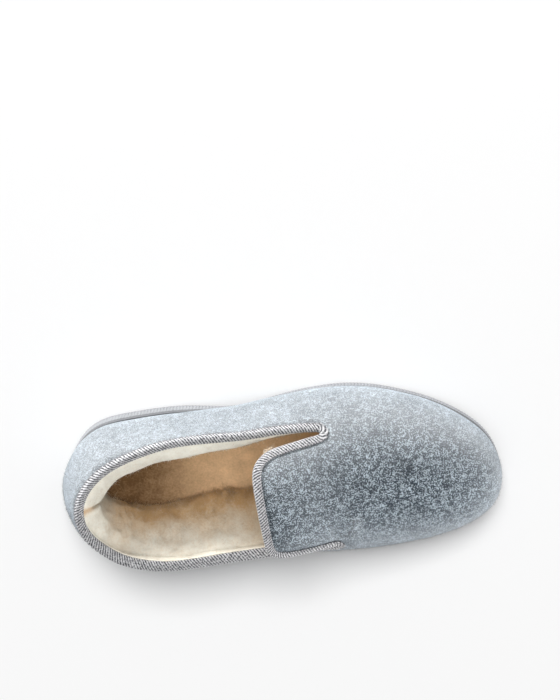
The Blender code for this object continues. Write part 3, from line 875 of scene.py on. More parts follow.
def threads(paths, radius):
    """Round threads along short paths, tapered at both ends."""
    turns = np.linspace(0.0, 2.0 * math.pi, THREAD_SIDES, endpoint=False)[None, :, None]
    vertices, faces = [], []
    for path in paths:
        along = unit(np.gradient(path, axis=0))
        first = unit(np.cross(along, THREAD_SLANT))
        second = np.cross(along, first)
        share = np.linspace(-1.0, 1.0, len(path))
        widths = radius * (1.0 - np.abs(share) ** THREAD_TAPER) + radius * THREAD_END
        ring = np.cos(turns) * first[:, None] + np.sin(turns) * second[:, None]
        faces += capped_rings(len(path), THREAD_SIDES, sum(len(done) for done in vertices))
        vertices.append((path[:, None] + ring * widths[:, None, None]).reshape(-1, 3))
    return np.vstack(vertices), faces


# Shader nodes

class Tree:
    """Adds nodes to one node tree and links their sockets."""

    def __init__(self, tree):
        self.tree = tree

    def add(self, kind, inputs=(), **settings):
        node = self.tree.nodes.new(kind)
        for name, value in settings.items():
            setattr(node, name, value)
        for name, value in dict(inputs).items():
            if isinstance(value, bpy.types.NodeSocket):
                self.tree.links.new(value, node.inputs[name])
            else:
                node.inputs[name].default_value = value
        return node

    def math(self, operation, a, b):
        return self.add("ShaderNodeMath", {0: a, 1: b}, operation=operation).outputs[0]

    def mix(self, factor, a, b):
        return self.add("ShaderNodeMix", {0: factor, 6: a, 7: b}, data_type="RGBA").outputs[2]

    def scaled(self, vector, factor):
        return self.add("ShaderNodeVectorMath", {0: vector, 1: factor}, operation="MULTIPLY").outputs[0]

    def noise(self, vector, scale, detail, distortion=0.0):
        return self.add("ShaderNodeTexNoise", {
            "Vector": vector, "Scale": scale, "Detail": detail, "Distortion": distortion,
        }).outputs["Fac"]

    def levels(self, value, low, high):
        """Value spread so that low becomes 0 and high becomes 1."""
        return self.add("ShaderNodeMapRange", {"Value": value, "From Min": low, "From Max": high}).outputs[0]

    def attribute(self, name):
        return self.add("ShaderNodeAttribute", attribute_name=name).outputs["Fac"]


def node_group(name, numbers, outputs):
    """Shader group that takes a vector and named numbers: its tree and its input and output sockets."""
    group = bpy.data.node_groups.new(name, "ShaderNodeTree")
    group.interface.new_socket("Vector", in_out="INPUT", socket_type="NodeSocketVector")
    for label, default in numbers.items():
        socket = group.interface.new_socket(label, in_out="INPUT", socket_type="NodeSocketFloat")
        socket.default_value = default
    for label in outputs:
        group.interface.new_socket(label, in_out="OUTPUT", socket_type="NodeSocketFloat")
    tree = Tree(group)
    return tree, tree.add("NodeGroupInput").outputs, tree.add("NodeGroupOutput").inputs


# Matted fibres: turns of their three layers, how they are drawn out, how fine they are against the blotches,
# share of the blotches in the mask, and the value around which the mask swings
FIBRE_TURNS = ((0.3, 0.9, 0.2), (1.4, 0.2, 1.1), (0.8, 1.3, 2.2))
FIBRE_DRAWING = (1.0, 0.22, 1.0)
FIBRE_FINENESS = 2.3
BLOTCH_SHARE = 0.7
MASK_MIDDLE = 0.55


def fibre_group():
    """Matted fibres: a mask of pale and dark fibres, and the height of the nap."""
    name = "matted_fibres"
    if name in bpy.data.node_groups:
        return bpy.data.node_groups[name]
    tree, given, put = node_group(name, {"Fibre Size": 0.0015}, ["Mask", "Height"])
    scale = tree.math("DIVIDE", 1.0, given["Fibre Size"])
    fine = tree.math("MULTIPLY", scale, FIBRE_FINENESS)
    blotch = tree.noise(given["Vector"], scale, detail=1.0, distortion=0.2)
    layers = []
    for turn in FIBRE_TURNS:
        turned = tree.add("ShaderNodeVectorRotate", {"Vector": given["Vector"], "Rotation": turn},
                          rotation_type="EULER_XYZ").outputs[0]
        layers.append(tree.noise(tree.scaled(turned, FIBRE_DRAWING), fine, detail=1.0, distortion=0.8))
    fibres = tree.math("MAXIMUM", tree.math("MAXIMUM", layers[0], layers[1]), layers[2])
    mixed = tree.math("ADD", tree.math("MULTIPLY", blotch, BLOTCH_SHARE),
                      tree.math("MULTIPLY", fibres, 1.0 - BLOTCH_SHARE))
    tree.tree.links.new(mixed, put["Mask"])
    tree.tree.links.new(tree.math("ADD", blotch, fibres), put["Height"])
    return tree.tree


def mottle_group():
    """Slow change of tone over a surface, around 1."""
    name = "slow_mottle"
    if name in bpy.data.node_groups:
        return bpy.data.node_groups[name]
    tree, given, put = node_group(name, {"Cell Size": 0.02, "Strength": 0.2}, ["Tone"])
    cloud = tree.noise(given["Vector"], tree.math("DIVIDE", 1.0, given["Cell Size"]), detail=3.0)
    swing = tree.math("MULTIPLY", tree.math("SUBTRACT", cloud, 0.5), given["Strength"])
    tree.tree.links.new(tree.math("ADD", tree.math("MULTIPLY", swing, 2.0), 1.0), put["Tone"])
    return tree.tree


def rgba(colour):
    return (*colour, 1.0)


SPECULAR_LEVEL = 0.2


class Finish:
    """Material with one Principled shader, its tree and the object's own coordinates."""

    def __init__(self, name, roughness, **constants):
        self.material = bpy.data.materials.new(name)
        self.material.use_nodes = True
        self.tree = Tree(self.material.node_tree)
        self.shader = self.material.node_tree.nodes["Principled BSDF"]
        self.shader.inputs["Roughness"].default_value = roughness
        self.shader.inputs["Specular IOR Level"].default_value = SPECULAR_LEVEL
        for socket, value in constants.items():
            self.shader.inputs[socket.replace("_", " ")].default_value = value
        self.place = self.tree.add("ShaderNodeTexCoord").outputs["Object"]

    def feed(self, socket, output):
        self.tree.tree.links.new(output, self.shader.inputs[socket])

    def fibres(self, size):
        """Mask and height of matted fibres of that size."""
        inputs = {"Vector": self.place, "Fibre Size": size}
        return self.tree.add("ShaderNodeGroup", inputs, node_tree=fibre_group()).outputs

    def tone(self, cell, strength):
        """Slow change of tone, around 1."""
        inputs = {"Vector": self.place, "Cell Size": cell, "Strength": strength}
        return self.tree.add("ShaderNodeGroup", inputs, node_tree=mottle_group()).outputs["Tone"]

    def darker(self, tone, attribute, amount):
        """Tone lowered where an attribute of the mesh is high."""
        drop = self.tree.math("MULTIPLY", self.tree.attribute(attribute), amount)
        return self.tree.math("MULTIPLY", tone, self.tree.math("SUBTRACT", 1.0, drop))

    def frayed(self, attribute, mask, amount):
        """Attribute of the mesh, broken up by the mask of its fibres."""
        swing = self.tree.math("MULTIPLY", self.tree.math("SUBTRACT", mask, MASK_MIDDLE), amount)
        return self.tree.math("ADD", self.tree.attribute(attribute), swing)

    def colour(self, share, low, high, tone):
        """Base colour from low to high by a share, made lighter and darker by a tone around 1."""
        self.feed("Base Color", self.tree.scaled(self.tree.mix(share, low, high), tone))

    def bump(self, height, distance, strength):
        inputs = {"Height": height, "Distance": distance, "Strength": strength}
        self.feed("Normal", self.tree.add("ShaderNodeBump", inputs).outputs["Normal"])

    def lie(self):
        """Lights loose fibres as the surface that they lie on."""
        self.feed("Normal", self.tree.add("ShaderNodeAttribute", attribute_name="lie").outputs["Vector"])


def felt_finish(felt):
    """Felt of dark and pale fibres with a soft nap."""
    finish = Finish("marl_felt", roughness=0.95, Sheen_Weight=0.48, Sheen_Roughness=0.45,
                    Sheen_Tint=(0.70, 0.84, 1.0, 1.0))
    fibres = finish.fibres(felt.fibre_size)
    cluster = finish.tree.math("SUBTRACT", finish.tone(cell=0.0035, strength=0.16), 1.0)
    mask = finish.tree.levels(finish.tree.math("ADD", fibres["Mask"], cluster), low=0.540, high=0.570)
    marl = finish.tree.mix(mask, rgba(felt.dark_colour), rgba(felt.pale_colour))
    # Painted sheen: the marl mixed towards the nap colour on the steep sides
    brushed = finish.tree.math("MULTIPLY", finish.tree.attribute("brushed"), felt.painted_sheen_share)
    # Painted shade: the felt darker in the groove beside the binding
    tone = finish.darker(finish.tone(cell=0.014, strength=0.30), "seam", amount=0.25)
    finish.colour(brushed, marl, rgba(felt.nap_colour), tone)
    finish.bump(fibres["Height"], distance=0.0007, strength=1.0)
    return finish.material


def nap_finish(felt):
    """Loose fibres of the felt, from dark to pale."""
    finish = Finish("felt_nap_fibres", roughness=0.9)
    tone = finish.tone(cell=0.004, strength=0.15)
    finish.colour(finish.tree.attribute("tint"), rgba(felt.dark_colour), rgba(felt.nap_colour), tone)
    return finish.material


def tape_finish(tape):
    """Twill with pale ribs over dark grooves."""
    finish = Finish("twill_tape", roughness=0.8, Sheen_Weight=0.1, Sheen_Roughness=0.4)
    fibres = finish.fibres(size=0.0010)
    rib = finish.tree.levels(finish.frayed("rib", fibres["Mask"], amount=2.6), low=0.05, high=0.85)
    tone = finish.tone(cell=0.006, strength=0.2)
    finish.colour(rib, rgba(tape.groove_colour), rgba(tape.rib_colour), tone)
    finish.bump(fibres["Height"], distance=0.0002, strength=0.5)
    return finish.material


def thread_finish(tape):
    """Sewing thread."""
    finish = Finish("sewing_thread", roughness=0.6)
    mask = finish.fibres(size=0.0003)["Mask"]
    tone = finish.tone(cell=0.003, strength=0.2)
    finish.colour(mask, rgba(tape.groove_colour), rgba(tape.thread_colour), tone)
    return finish.material


def wool_finish(name, wool, tip_colour, root_colour, loose=False):
    """Wool pile, from its roots to its tips, or the loose strands over it."""
    finish = Finish(name, roughness=1.0, Sheen_Weight=0.15, Sheen_Roughness=0.5)
    fibres = finish.fibres(wool.curl_size)
    # The share from roots to tips carries the painted light and shade of pile and insole
    share = finish.tree.levels(finish.frayed("tip", fibres["Mask"], amount=0.5), low=0.0, high=1.0)
    tone = finish.tone(cell=0.010, strength=0.16)
    finish.colour(share, rgba(root_colour), rgba(tip_colour), tone)
    if loose:
        finish.lie()
    else:
        finish.bump(fibres["Height"], distance=0.0004, strength=0.40)
    return finish.material


def rubber_finish(sole):
    """Matt rubber with a fine grain."""
    finish = Finish("sole_rubber", roughness=0.75)
    fibres = finish.fibres(size=0.0006)
    # Painted shade: the rubber darker along its bottom and top edges
    tone = finish.darker(finish.tone(cell=0.015, strength=0.15), "line", amount=0.45)
    finish.colour(fibres["Mask"], rgba(sole.dark_colour), rgba(sole.pale_colour), tone)
    finish.bump(fibres["Height"], distance=0.0002, strength=0.4)
    return finish.material


# Felt

def make_felt_upper(felt):
    """Felt wall, pressed thinner under the binding."""
    form = felt_form()
    piece = new_piece("felt_upper", form.vertices, form.quads(), felt_finish(felt))
    shell = piece.modifiers.new("felt_thickness", "SOLIDIFY")
    shell.thickness = FELT
    shell.offset = -1.0
    group = piece.vertex_groups.new(name="swell")
    swell = (pressed(form.edge_distance) / FELT - PRESSED_FELT) / (1.0 - PRESSED_FELT)
    for number, weight in enumerate(swell.tolist()):
        group.add([number], weight, "REPLACE")
    shell.vertex_group = group.name
    shell.thickness_vertex_group = PRESSED_FELT
    # Painted shade in the groove beside the binding, for the material
    store(piece, "seam", form.seam)
    # Painted sheen on the steep sides, for the material
    store(piece, "brushed", form.brushed)
    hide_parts("upper")


# Loose fibres of the felt: distance from the tape and depth of the roots in metres, lift in degrees,
# shape and scale of their lengths, shapes of their tints, and paleness where the felt has no painted sheen
NAP_SEED = 11
NAP_CLEARANCE = 0.0004
NAP_ROOT = 0.0001
NAP_LIFT = (10.0, 60.0)
NAP_LENGTHS = (4.0, 0.25)
NAP_TINTS = (0.5, 0.6)
NAP_PALENESS = 0.4
# Two points at the root and one at the tip: side of each, and height of each on the map
NAP_SIDES = (-1.0, 1.0, 0.0)
NAP_HEIGHTS = (0.05, 0.05, 0.95)


def make_felt_nap(felt):
    """Short loose fibres standing off the felt."""
    form = felt_form()
    rng = np.random.default_rng(NAP_SEED)
    outside = ~np.isnan(form.pile) & (form.edge_distance > form.tape_depth + NAP_CLEARANCE)
    faces = form.faces[outside[form.faces].all(axis=1)]
    points, normals, chosen = scatter(form.vertices, form.normals, faces, felt.nap_count, rng)
    count = len(points)
    loose = unit(rng.normal(size=points.shape))
    flat = unit(loose - normals * (loose * normals).sum(axis=1, keepdims=True))
    lift = np.radians(rng.uniform(*NAP_LIFT, count))[:, None]
    ways = flat * np.cos(lift) + normals * np.sin(lift)
    half = unit(np.cross(ways, normals)) * felt.nap_width / 2.0
    lengths = felt.nap_length * rng.gamma(*NAP_LENGTHS, count)
    roots = points - normals * NAP_ROOT
    vertices = np.stack([roots - half, roots + half, roots + ways * lengths[:, None]], axis=1).reshape(-1, 3)
    triangles = np.arange(len(vertices)).reshape(-1, 3)
    piece = new_piece("felt_nap", vertices, triangles.tolist(), nap_finish(felt))
    # Painted sheen: the loose fibres are paler on the steep sides too
    paleness = NAP_PALENESS + (1.0 - NAP_PALENESS) * form.brushed[faces[chosen, 0]]
    tint = np.repeat(rng.beta(*NAP_TINTS, count) * paleness, 3)
    store(piece, "tint", tint)
    lay_normals(piece, np.repeat(normals, 3, axis=0))
    strand_map(piece, tint, NAP_SIDES, np.tile(NAP_HEIGHTS, count))


# Binding

# Points of the tape: along each rib's pitch, down each leg, and over the roll
RIB_SAMPLES = 6
LEG_STEPS = 7
LEG_SHARES = np.linspace(1.0, 0.0, LEG_STEPS + 1)[:-1]
ROLL_STEPS = 9
# Stations on each side over which normals and directions are evened out, and from which directions are read
NORMAL_REACH = 6
WAY_REACH = 3
WAY_STEP = 2
# The ribs flatten towards the tape's hems over this width
HEM_WIDTH = 0.0010
# Stitch: its points, start and length in shares of the pitch, dip of its ends in radii, how late it dips
STITCH_POINTS = 7
STITCH_START = 0.14
STITCH_LENGTH = 0.72
STITCH_DIP = 3.2
STITCH_DIP_POWER = 4


class BindingLine:
    """Even stations along the cut edge, with the felt's normal and the way out of it."""

    def __init__(self, form, pitch):
        closed = closed_line(form.vertices[form.edge_loop])
        normals = closed_line(form.normals[form.edge_loop])
        lengths = arc_lengths(closed)
        length = lengths[-1]
        self.count = round(length / pitch) * RIB_SAMPLES
        self.edge = spread_evenly(closed, closed, self.count)[:-1]
        self.normal = unit(self.smoothed(spread_evenly(closed, normals, self.count)[:-1], NORMAL_REACH))
        along = np.roll(self.edge, -WAY_STEP, axis=0) - np.roll(self.edge, WAY_STEP, axis=0)
        self.out = unit(np.cross(self.normal, unit(self.smoothed(along, WAY_REACH))))
        self.way = np.arange(self.count) / self.count * length / lengths[QUARTER_STATIONS]
        self.depth = outer_depth(self.way)

    @staticmethod
    def smoothed(values, reach):
        """Mean of each value and its neighbours on a closed line."""
        return sum(np.roll(values, step, axis=0) for step in range(-reach, reach + 1)) / (2 * reach + 1)


@functools.lru_cache(maxsize=1)
def binding_line():
    return BindingLine(felt_form(), bpy.context.scene.slipper_tape.rib_pitch)


def binding_legs(form, line, depth, shares):
    """Felt points and normals under a leg of the tape, for each station and share of its depth."""
    places, ups = [], []
    for share in shares:
        read = [form.read(point) for point in (line.edge - line.out * (depth * share)[:, None])]
        places.append([place for place, _ in read])
        ups.append([up for _, up in read])
    return np.array(places).transpose(1, 0, 2), np.array(ups).transpose(1, 0, 2)


def make_binding(tape):
    """Twill tape folded over the cut edge, its diagonal ribs raised."""
    form, line = felt_form(), binding_line()
    near, far = TAPE_GAP, TAPE_GAP + TAPE_THICKNESS
    places, ups = binding_legs(form, line, line.depth, LEG_SHARES)
    inner_depth = np.full(line.count, TAPE_DEPTH)
    inner_places, inner_ups = binding_legs(form, line, inner_depth, LEG_SHARES)
    bound = pile_column(line.way, "bound")[:, None, None]
    thick = pressed(TAPE_DEPTH * LEG_SHARES)[None, :, None] + bound
    rim = pressed(0.0) + bound
    turns = np.linspace(math.pi / 2.0, -math.pi / 2.0, ROLL_STEPS)
    rise, reach = np.sin(turns)[None, :, None], np.cos(turns)[None, :, None]
    normal, out, edge = (part[:, None] for part in (line.normal, line.out, line.edge))
    roll_ways = unit(normal * rise + out * reach)
    roll = edge - normal * rim / 2.0 + normal * (rim / 2.0 + far) * rise + out * far * reach
    inner = inner_places - inner_ups * (thick + far)
    outside = np.concatenate([places + ups * far, roll, inner[:, ::-1]], axis=1)
    ways = np.concatenate([ups, roll_ways, -inner_ups[:, ::-1]], axis=1)
    inside = np.concatenate([
        (inner_places - inner_ups * (thick + near))[:, :1],
        edge - normal * (rim + near) + out * near,
        edge + normal * near + out * near,
        (places + ups * near)[:, :1],
    ], axis=1)
    across = np.cumsum(np.linalg.norm(np.diff(outside, axis=1, prepend=outside[:, :1]), axis=2), axis=1)
    hem = np.minimum(np.minimum(across, across[:, -1:] - across) / HEM_WIDTH, 1.0)
    across = across - across[:, len(LEG_SHARES):len(LEG_SHARES) + 1]
    along = np.arange(line.count)[:, None] / RIB_SAMPLES
    phase = along + across / (tape.rib_pitch * math.tan(tape.rib_angle))
    rib = np.sin(math.pi * phase) ** 2
    outside = outside + ways * (tape.rib_height * (np.sqrt(rib) - 0.5) * hem)[..., None]
    ring = np.concatenate([outside, inside], axis=1)
    shade = np.concatenate([rib, np.zeros(inside.shape[:2])], axis=1)
    faces = ring_faces(line.count, ring.shape[1], closed_rings=True)[:, ::-1]
    piece = new_piece("twill_binding", ring.reshape(-1, 3), faces.tolist(), tape_finish(tape))
    store(piece, "rib", shade.ravel())
    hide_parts("edge_binding")


def make_stitches(tape):
    """Sewing thread through the tape, close to its edge on the outside."""
    form, line = felt_form(), binding_line()
    places, ups = binding_legs(form, line, line.depth, [tape.stitch_place])
    path = (places + ups * (TAPE_GAP + TAPE_THICKNESS + tape.rib_height * 0.5))[:, 0]
    closed, lift = closed_line(path), closed_line(ups[:, 0])
    lengths = arc_lengths(closed)
    count = round(lengths[-1] / tape.stitch_pitch)
    share = np.linspace(0.0, 1.0, STITCH_POINTS)
    dip = tape.thread_radius * (1.0 - STITCH_DIP * np.abs(2.0 * share - 1.0) ** STITCH_DIP_POWER)
    paths = []
    for stitch in range(count):
        wanted = (stitch + STITCH_START + STITCH_LENGTH * share) * lengths[-1] / count
        paths.append(read_at(wanted, lengths, closed) + read_at(wanted, lengths, lift) * dip[:, None])
    vertices, faces = threads(paths, tape.thread_radius)
    new_piece("binding_stitches", vertices, faces, thread_finish(tape))


# Wool pile

def neighbours_mean(values, faces, rounds):
    """Values evened out over a mesh of quads."""
    values = values.copy()
    for _ in range(rounds):
        total, count = np.zeros_like(values), np.zeros(len(values))
        for column in range(4):
            for other in (1, 3):
                np.add.at(total, faces[:, column], values[faces[:, (column + other) % 4]])
                np.add.at(count, faces[:, column], 1.0)
        met = count > 0
        values[met] = 0.5 * values[met] + 0.5 * total[met] / count[met]
    return values


# Tufts in three sizes: height and size against the settings
Tufts = namedtuple("Tufts", "height size seed")
TUFTS = [Tufts(1.0, 1.0, 5), Tufts(0.6, 0.45, 6), Tufts(0.35, 0.22, 7)]
# Rounds that even out the lining's depth; in metres, its distance from tape and felt, least depth, step of
# its back towards the felt, end of its bound edge, and depth under which the tufts get lower
PILE_ROUNDS = 30
PILE_GAP = 0.0004
PILE_LEAST = 0.0004
PILE_BACK = 0.0002
BOUND_END = 0.006
TUFT_FADE = 0.006
# Change from the outer to the inner side: way along the quarters where it starts, and over which it goes
INNER_START = 0.5
INNER_BLEND = 0.1
# Heel seam: wander of its line and cell of that, fade at its front, dent in the pile,
# stain all along, and more of it within a distance from the cut edge
SEAM_WANDER = 0.0012
SEAM_CELL = 0.004
SEAM_FADE = 0.004
SEAM_DENT = 0.40
STAIN = 0.45
EDGE_STAIN = 0.40
EDGE_STAIN_WIDTH = 0.004
# Paleness of the pile, painted light and shade over the roots' own tan: outer side, drawn pale for the light
# on its roll; inner side low down, painted tan and dark as shade deep in the shoe; growth to its rim; swing
# with the tufts, darker in their hollows;
# and the cell in which its height wanders
OUTER_PALENESS = 0.97
DEEP_PALENESS = 0.02
PALE_GROWTH = 0.87
TUFT_PALENESS = 0.13
PALE_CELL = 0.016


def tuft_relief(points, wool):
    """Height of the wool's tufts, in metres, around zero."""
    return sum(
        layer.height * wool.tuft_height * noise_at(points, wool.tuft_size * layer.size, layer.seed)
        for layer in TUFTS
    )


class PileForm:
    """Face of the wool lining: the felt's surface set inward by the depth of the pile."""

    def __init__(self, form, wool):
        lined = ~np.isnan(form.pile)
        lined[form.edge_loop] = False
        self.faces = form.faces[lined[form.faces].all(axis=1)]
        depth = neighbours_mean(np.where(lined, form.pile, 0.0), self.faces, PILE_ROUNDS)
        start, roll = pile_column(form.way, "start"), pile_column(form.way, "roll")
        free = np.clip((form.edge_distance - start) / roll, 0.0, 1.0)
        depth = depth * np.sqrt(1.0 - (1.0 - free) ** 2)
        behind = pressed(form.edge_distance) + TAPE_GAP + TAPE_THICKNESS + PILE_GAP
        loose = smooth_step((form.edge_distance - BOUND_END) / BOUND_END)
        behind += pile_column(form.way, "bound") * (1.0 - loose)
        across = form.vertices[:, 1] - wool.seam_across
        across += SEAM_WANDER * noise_at(form.vertices, SEAM_CELL, seed=10)
        seam = bell(across / wool.seam_width)
        seam *= smooth_step((wool.seam_front - form.vertices[:, 0]) / SEAM_FADE)
        stain = seam * (STAIN + EDGE_STAIN * bell(form.edge_distance / EDGE_STAIN_WIDTH))
        medial = smooth_step((form.way - INNER_START) / INNER_BLEND)
        relief = tuft_relief(form.vertices, wool) * np.clip(depth / TUFT_FADE, 0.0, 1.0)
        relief *= wool.lateral_tufts + (1.0 - wool.lateral_tufts) * medial
        depth = np.maximum(depth * (1.0 - SEAM_DENT * seam) + relief, PILE_LEAST)
        self.vertices = form.vertices - form.plain_normals * (behind + depth)[:, None]
        self.back = form.vertices - form.plain_normals * (behind - PILE_BACK)[:, None]
        self.normals = -vertex_normals(self.vertices, self.faces)
        # Painted light and shade: the pile paler on the outer side and up to the rim, darker low inside and
        # in the tufts' hollows
        height = self.vertices[:, 2] + wool.pale_wander * noise_at(form.vertices, PALE_CELL, seed=9)
        level = smooth_step((height - wool.deep_height) / (wool.pale_height - wool.deep_height))
        pale = (1.0 - medial) * OUTER_PALENESS + medial * (DEEP_PALENESS + PALE_GROWTH * level)
        self.tip = np.clip(pale + relief / wool.tuft_height * TUFT_PALENESS - stain, 0.0, 1.0)


@functools.lru_cache(maxsize=1)
def pile_form():
    return PileForm(felt_form(), bpy.context.scene.slipper_wool)


def make_lining(wool):
    """Pile lining of the whole upper, closed at its back."""
    pile = pile_form()
    used, flat = np.unique(pile.faces, return_inverse=True)
    faces = flat.reshape(-1, 4)
    count = len(used)
    edges = np.concatenate([faces[:, [i, (i + 1) % 4]] for i in range(4)])
    keys = edges[:, 0] * count + edges[:, 1]
    border = edges[~np.isin(edges[:, 1] * count + edges[:, 0], keys) & (edges[:, 0] != edges[:, 1])]
    rim = np.column_stack([border, border[:, ::-1] + count])
    every = np.concatenate([faces[:, ::-1], faces + count, rim])
    quads = plain_faces(every.tolist())
    vertices = np.concatenate([pile.vertices[used], pile.back[used]])
    material = wool_finish("cream_pile", wool, wool.tip_colour, wool.root_colour)
    piece = new_piece("pile_lining", vertices, quads, material)
    # Painted light and shade of the pile, for the material
    store(piece, "tip", np.tile(pile.tip[used], 2))


# Loose wool: seed and cell (in tufts) of its common lie, how much it stands up, follows that lie and strays,
# least rise, twist and bend, range of lengths and widths, depth of the roots in metres,
# swing of its tone, tone at the root, and how much its own direction counts in the light
COMB_SEED = 21
COMB_CELL = 0.6
STRAND_RISE = 0.5
STRAND_COMB = 1.1
STRAND_STRAY = 0.45
STRAND_LEAST_RISE = 0.15
STRAND_TWIST = 0.3
STRAND_BEND = 0.35
STRAND_LENGTHS = (0.6, 1.4)
STRAND_WIDTHS = (0.6, 1.3)
STRAND_ROOT = 0.0006
STRAND_SWING = 0.20
STRAND_ROOT_TONE = 0.9
STRAND_LIE = 0.3


def comb(points, cell):
    """Slowly turning directions, one for each point."""
    return np.column_stack([noise_at(points, cell, COMB_SEED + number) for number in range(3)])


def wool_strands(name, points, normals, tips, length, wool, rng, material):
    """Loose curling wool over a pile surface."""
    count = len(points)
    lean = comb(points, wool.tuft_size * COMB_CELL) * STRAND_COMB
    lean += rng.normal(size=points.shape) * STRAND_STRAY
    ways = unit(normals * STRAND_RISE + lean)
    rise = (ways * normals).sum(axis=1, keepdims=True)
    ways = unit(ways + normals * np.maximum(STRAND_LEAST_RISE - rise, 0.0))
    sides = unit(np.cross(ways, normals + rng.normal(size=points.shape) * STRAND_TWIST))
    bends = rng.normal(size=points.shape) * STRAND_BEND - normals * STRAND_BEND
    lengths = length * rng.uniform(*STRAND_LENGTHS, count)
    widths = wool.strand_width * rng.uniform(*STRAND_WIDTHS, count)
    vertices, faces = strands(points - normals * STRAND_ROOT, ways, sides, lengths, widths, bends)
    piece = new_piece(name, vertices, faces, material)
    # Strands take the pile's paleness, with its painted light and shade, and swing around it
    tint = np.clip(tips + rng.normal(size=count) * STRAND_SWING, 0.0, 1.0)
    tint = np.repeat(tint, STRAND_POINTS)
    share = np.tile(STRAND_SHARES, count)
    store(piece, "tip", tint * (STRAND_ROOT_TONE + (1.0 - STRAND_ROOT_TONE) * share))
    strand_map(piece, tint, STRAND_SIDES, MAP_MARGIN + MAP_SPAN * share)
    lie = np.repeat(unit(normals + STRAND_LIE * ways), STRAND_POINTS, axis=0)
    lay_normals(piece, lie)
    attribute = piece.data.attributes.new("lie", "FLOAT_VECTOR", "POINT")
    attribute.data.foreach_set("vector", lie.astype(np.float32).ravel())


# Wool under the flap's corner: stations on each side, depth behind the felt and step out of its edge
# in metres, rise, tone
TUFT_REACH = 8
TUFT_DEPTHS = (0.0005, 0.0015)
TUFT_OUT = 0.0005
TUFT_RISE = 0.1
TUFT_TONE = 0.5
# Length of the wool against the setting: on the lining's face, at its foot and under the flap's corner,
# and on the insole
LINING_LENGTHS = (1.0, 2.0, 2.8)
INSOLE_WOOL_LENGTH = 0.6
LINING_SEED = 23
INSOLE_SEED = 29


def corner_tuft(wool, rng):
    """Wool that shows from under the lateral rear corner of the flap: its roots and its directions."""
    line = binding_line()
    far = np.linalg.norm(line.edge[:, :2] - np.array(wool.tuft_corner), axis=1)
    far[line.way < 1.0] = np.inf
    reach = rng.integers(-TUFT_REACH, TUFT_REACH + 1, wool.tuft_strands)
    stations = (int(np.argmin(far)) + reach) % line.count
    depth = FELT + rng.uniform(*TUFT_DEPTHS, (wool.tuft_strands, 1))
    roots = line.edge[stations] - line.normal[stations] * depth + line.out[stations] * TUFT_OUT
    return roots, unit(line.out[stations] + line.normal[stations] * TUFT_RISE)


def make_lining_wool(wool):
    """Loose wool of the lining where it can be seen: at the collar and behind the flap."""
    pile = pile_form()
    rng = np.random.default_rng(LINING_SEED)
    middle = pile.vertices[pile.faces].mean(axis=1)
    seen = pile.faces[middle[:, 0] < wool.seen_front]
    foot = seen[pile.vertices[seen, 2].mean(axis=1) < wool.foot_height]
    face = scatter(pile.vertices, pile.normals, seen, wool.strand_count, rng)
    low = scatter(pile.vertices, pile.normals, foot, wool.foot_strands, rng)
    tuft = corner_tuft(wool, rng)
    points, normals = (np.vstack([face[i], low[i], tuft[i]]) for i in range(2))
    counts = [len(group[0]) for group in (face, low, tuft)]
    tips = [pile.tip[seen[face[2], 0]], pile.tip[foot[low[2], 0]], np.full(counts[2], TUFT_TONE)]
    lengths = wool.strand_length * np.repeat(LINING_LENGTHS, counts)
    material = wool_finish("cream_wool", wool, wool.tip_colour, wool.root_colour, loose=True)
    wool_strands("lining_wool", points, normals, np.concatenate(tips), lengths, wool, rng, material)


# Points of the insole along the shoe and across it
INSOLE_STATIONS = 190
INSOLE_COLUMNS = 64
# Paleness of its pile, painted shade: dark at the heel where the walls shade it, growth forward, swing with
# the tufts
INSOLE_DARK = 0.05
INSOLE_GROWTH = 0.85
INSOLE_SWING = 0.2


def insole_rings():
    """Rings round the insole from heel to toe: its underside, its sides and its pile top."""
    low, high = WIDEST[0, 0], WIDEST[TOE, 0]
    turns = np.linspace(0.0, math.pi, INSOLE_STATIONS + 1)[1:-1]
    x = (low + high) / 2.0 - (high - low) / 2.0 * np.cos(turns)
    lateral, medial = inset_sides(WIDEST, x, INSOLE_CLEARANCE)
    share = (1.0 - np.cos(np.linspace(0.0, math.pi, INSOLE_COLUMNS))) / 2.0
    flat = lateral[:, None] + share[None, :, None] * (medial - lateral)[:, None]
    width = np.linalg.norm(medial - lateral, axis=1)[:, None]
    inset = np.minimum(share, 1.0 - share)[None, :] * width
    round_edge = np.sqrt(1.0 - (1.0 - np.clip(inset / INSOLE_BEVEL, 0.0, 1.0)) ** 2)
    seat = sole_top(flat[..., 0]) + FIT_GAP + FELT + FIT_GAP
    rise = INSOLE_THICKNESS - INSOLE_BEVEL + INSOLE_BEVEL * round_edge
    top = np.concatenate([flat, (seat + rise)[..., None]], axis=2)
    base = np.concatenate([flat, seat[..., None]], axis=2)[:, [-1, 0]]
    return top, base


class InsoleForm:
    """Short pile of the insole's top, over a plain underside."""

    def __init__(self, wool):
        top, base = insole_rings()
        stations, columns = top.shape[:2]
        top = placed(top.reshape(-1, 3))
        relief = tuft_relief(top, wool) * wool.insole_tufts
        self.top = top + np.outer(relief, [0.0, 0.0, 1.0])
        # Painted shade: the insole darker towards the heel
        front = smooth_step((self.top[:, 0] - wool.dark_end) / (wool.tan_start - wool.dark_end))
        pale = INSOLE_DARK + INSOLE_GROWTH * front
        self.tip = np.clip(pale + relief / wool.tuft_height * INSOLE_SWING, 0.0, 1.0)
        self.base = placed(base.reshape(-1, 3)).reshape(stations, 2, 3)
        self.shape = (stations, columns)
        self.faces = ring_faces(stations, columns, closed_rings=False, closed_ring=False)
        self.normals = vertex_normals(self.top, self.faces)
        self.normals *= np.sign(self.normals[:, 2:])


@functools.lru_cache(maxsize=1)
def insole_form():
    return InsoleForm(bpy.context.scene.slipper_wool)


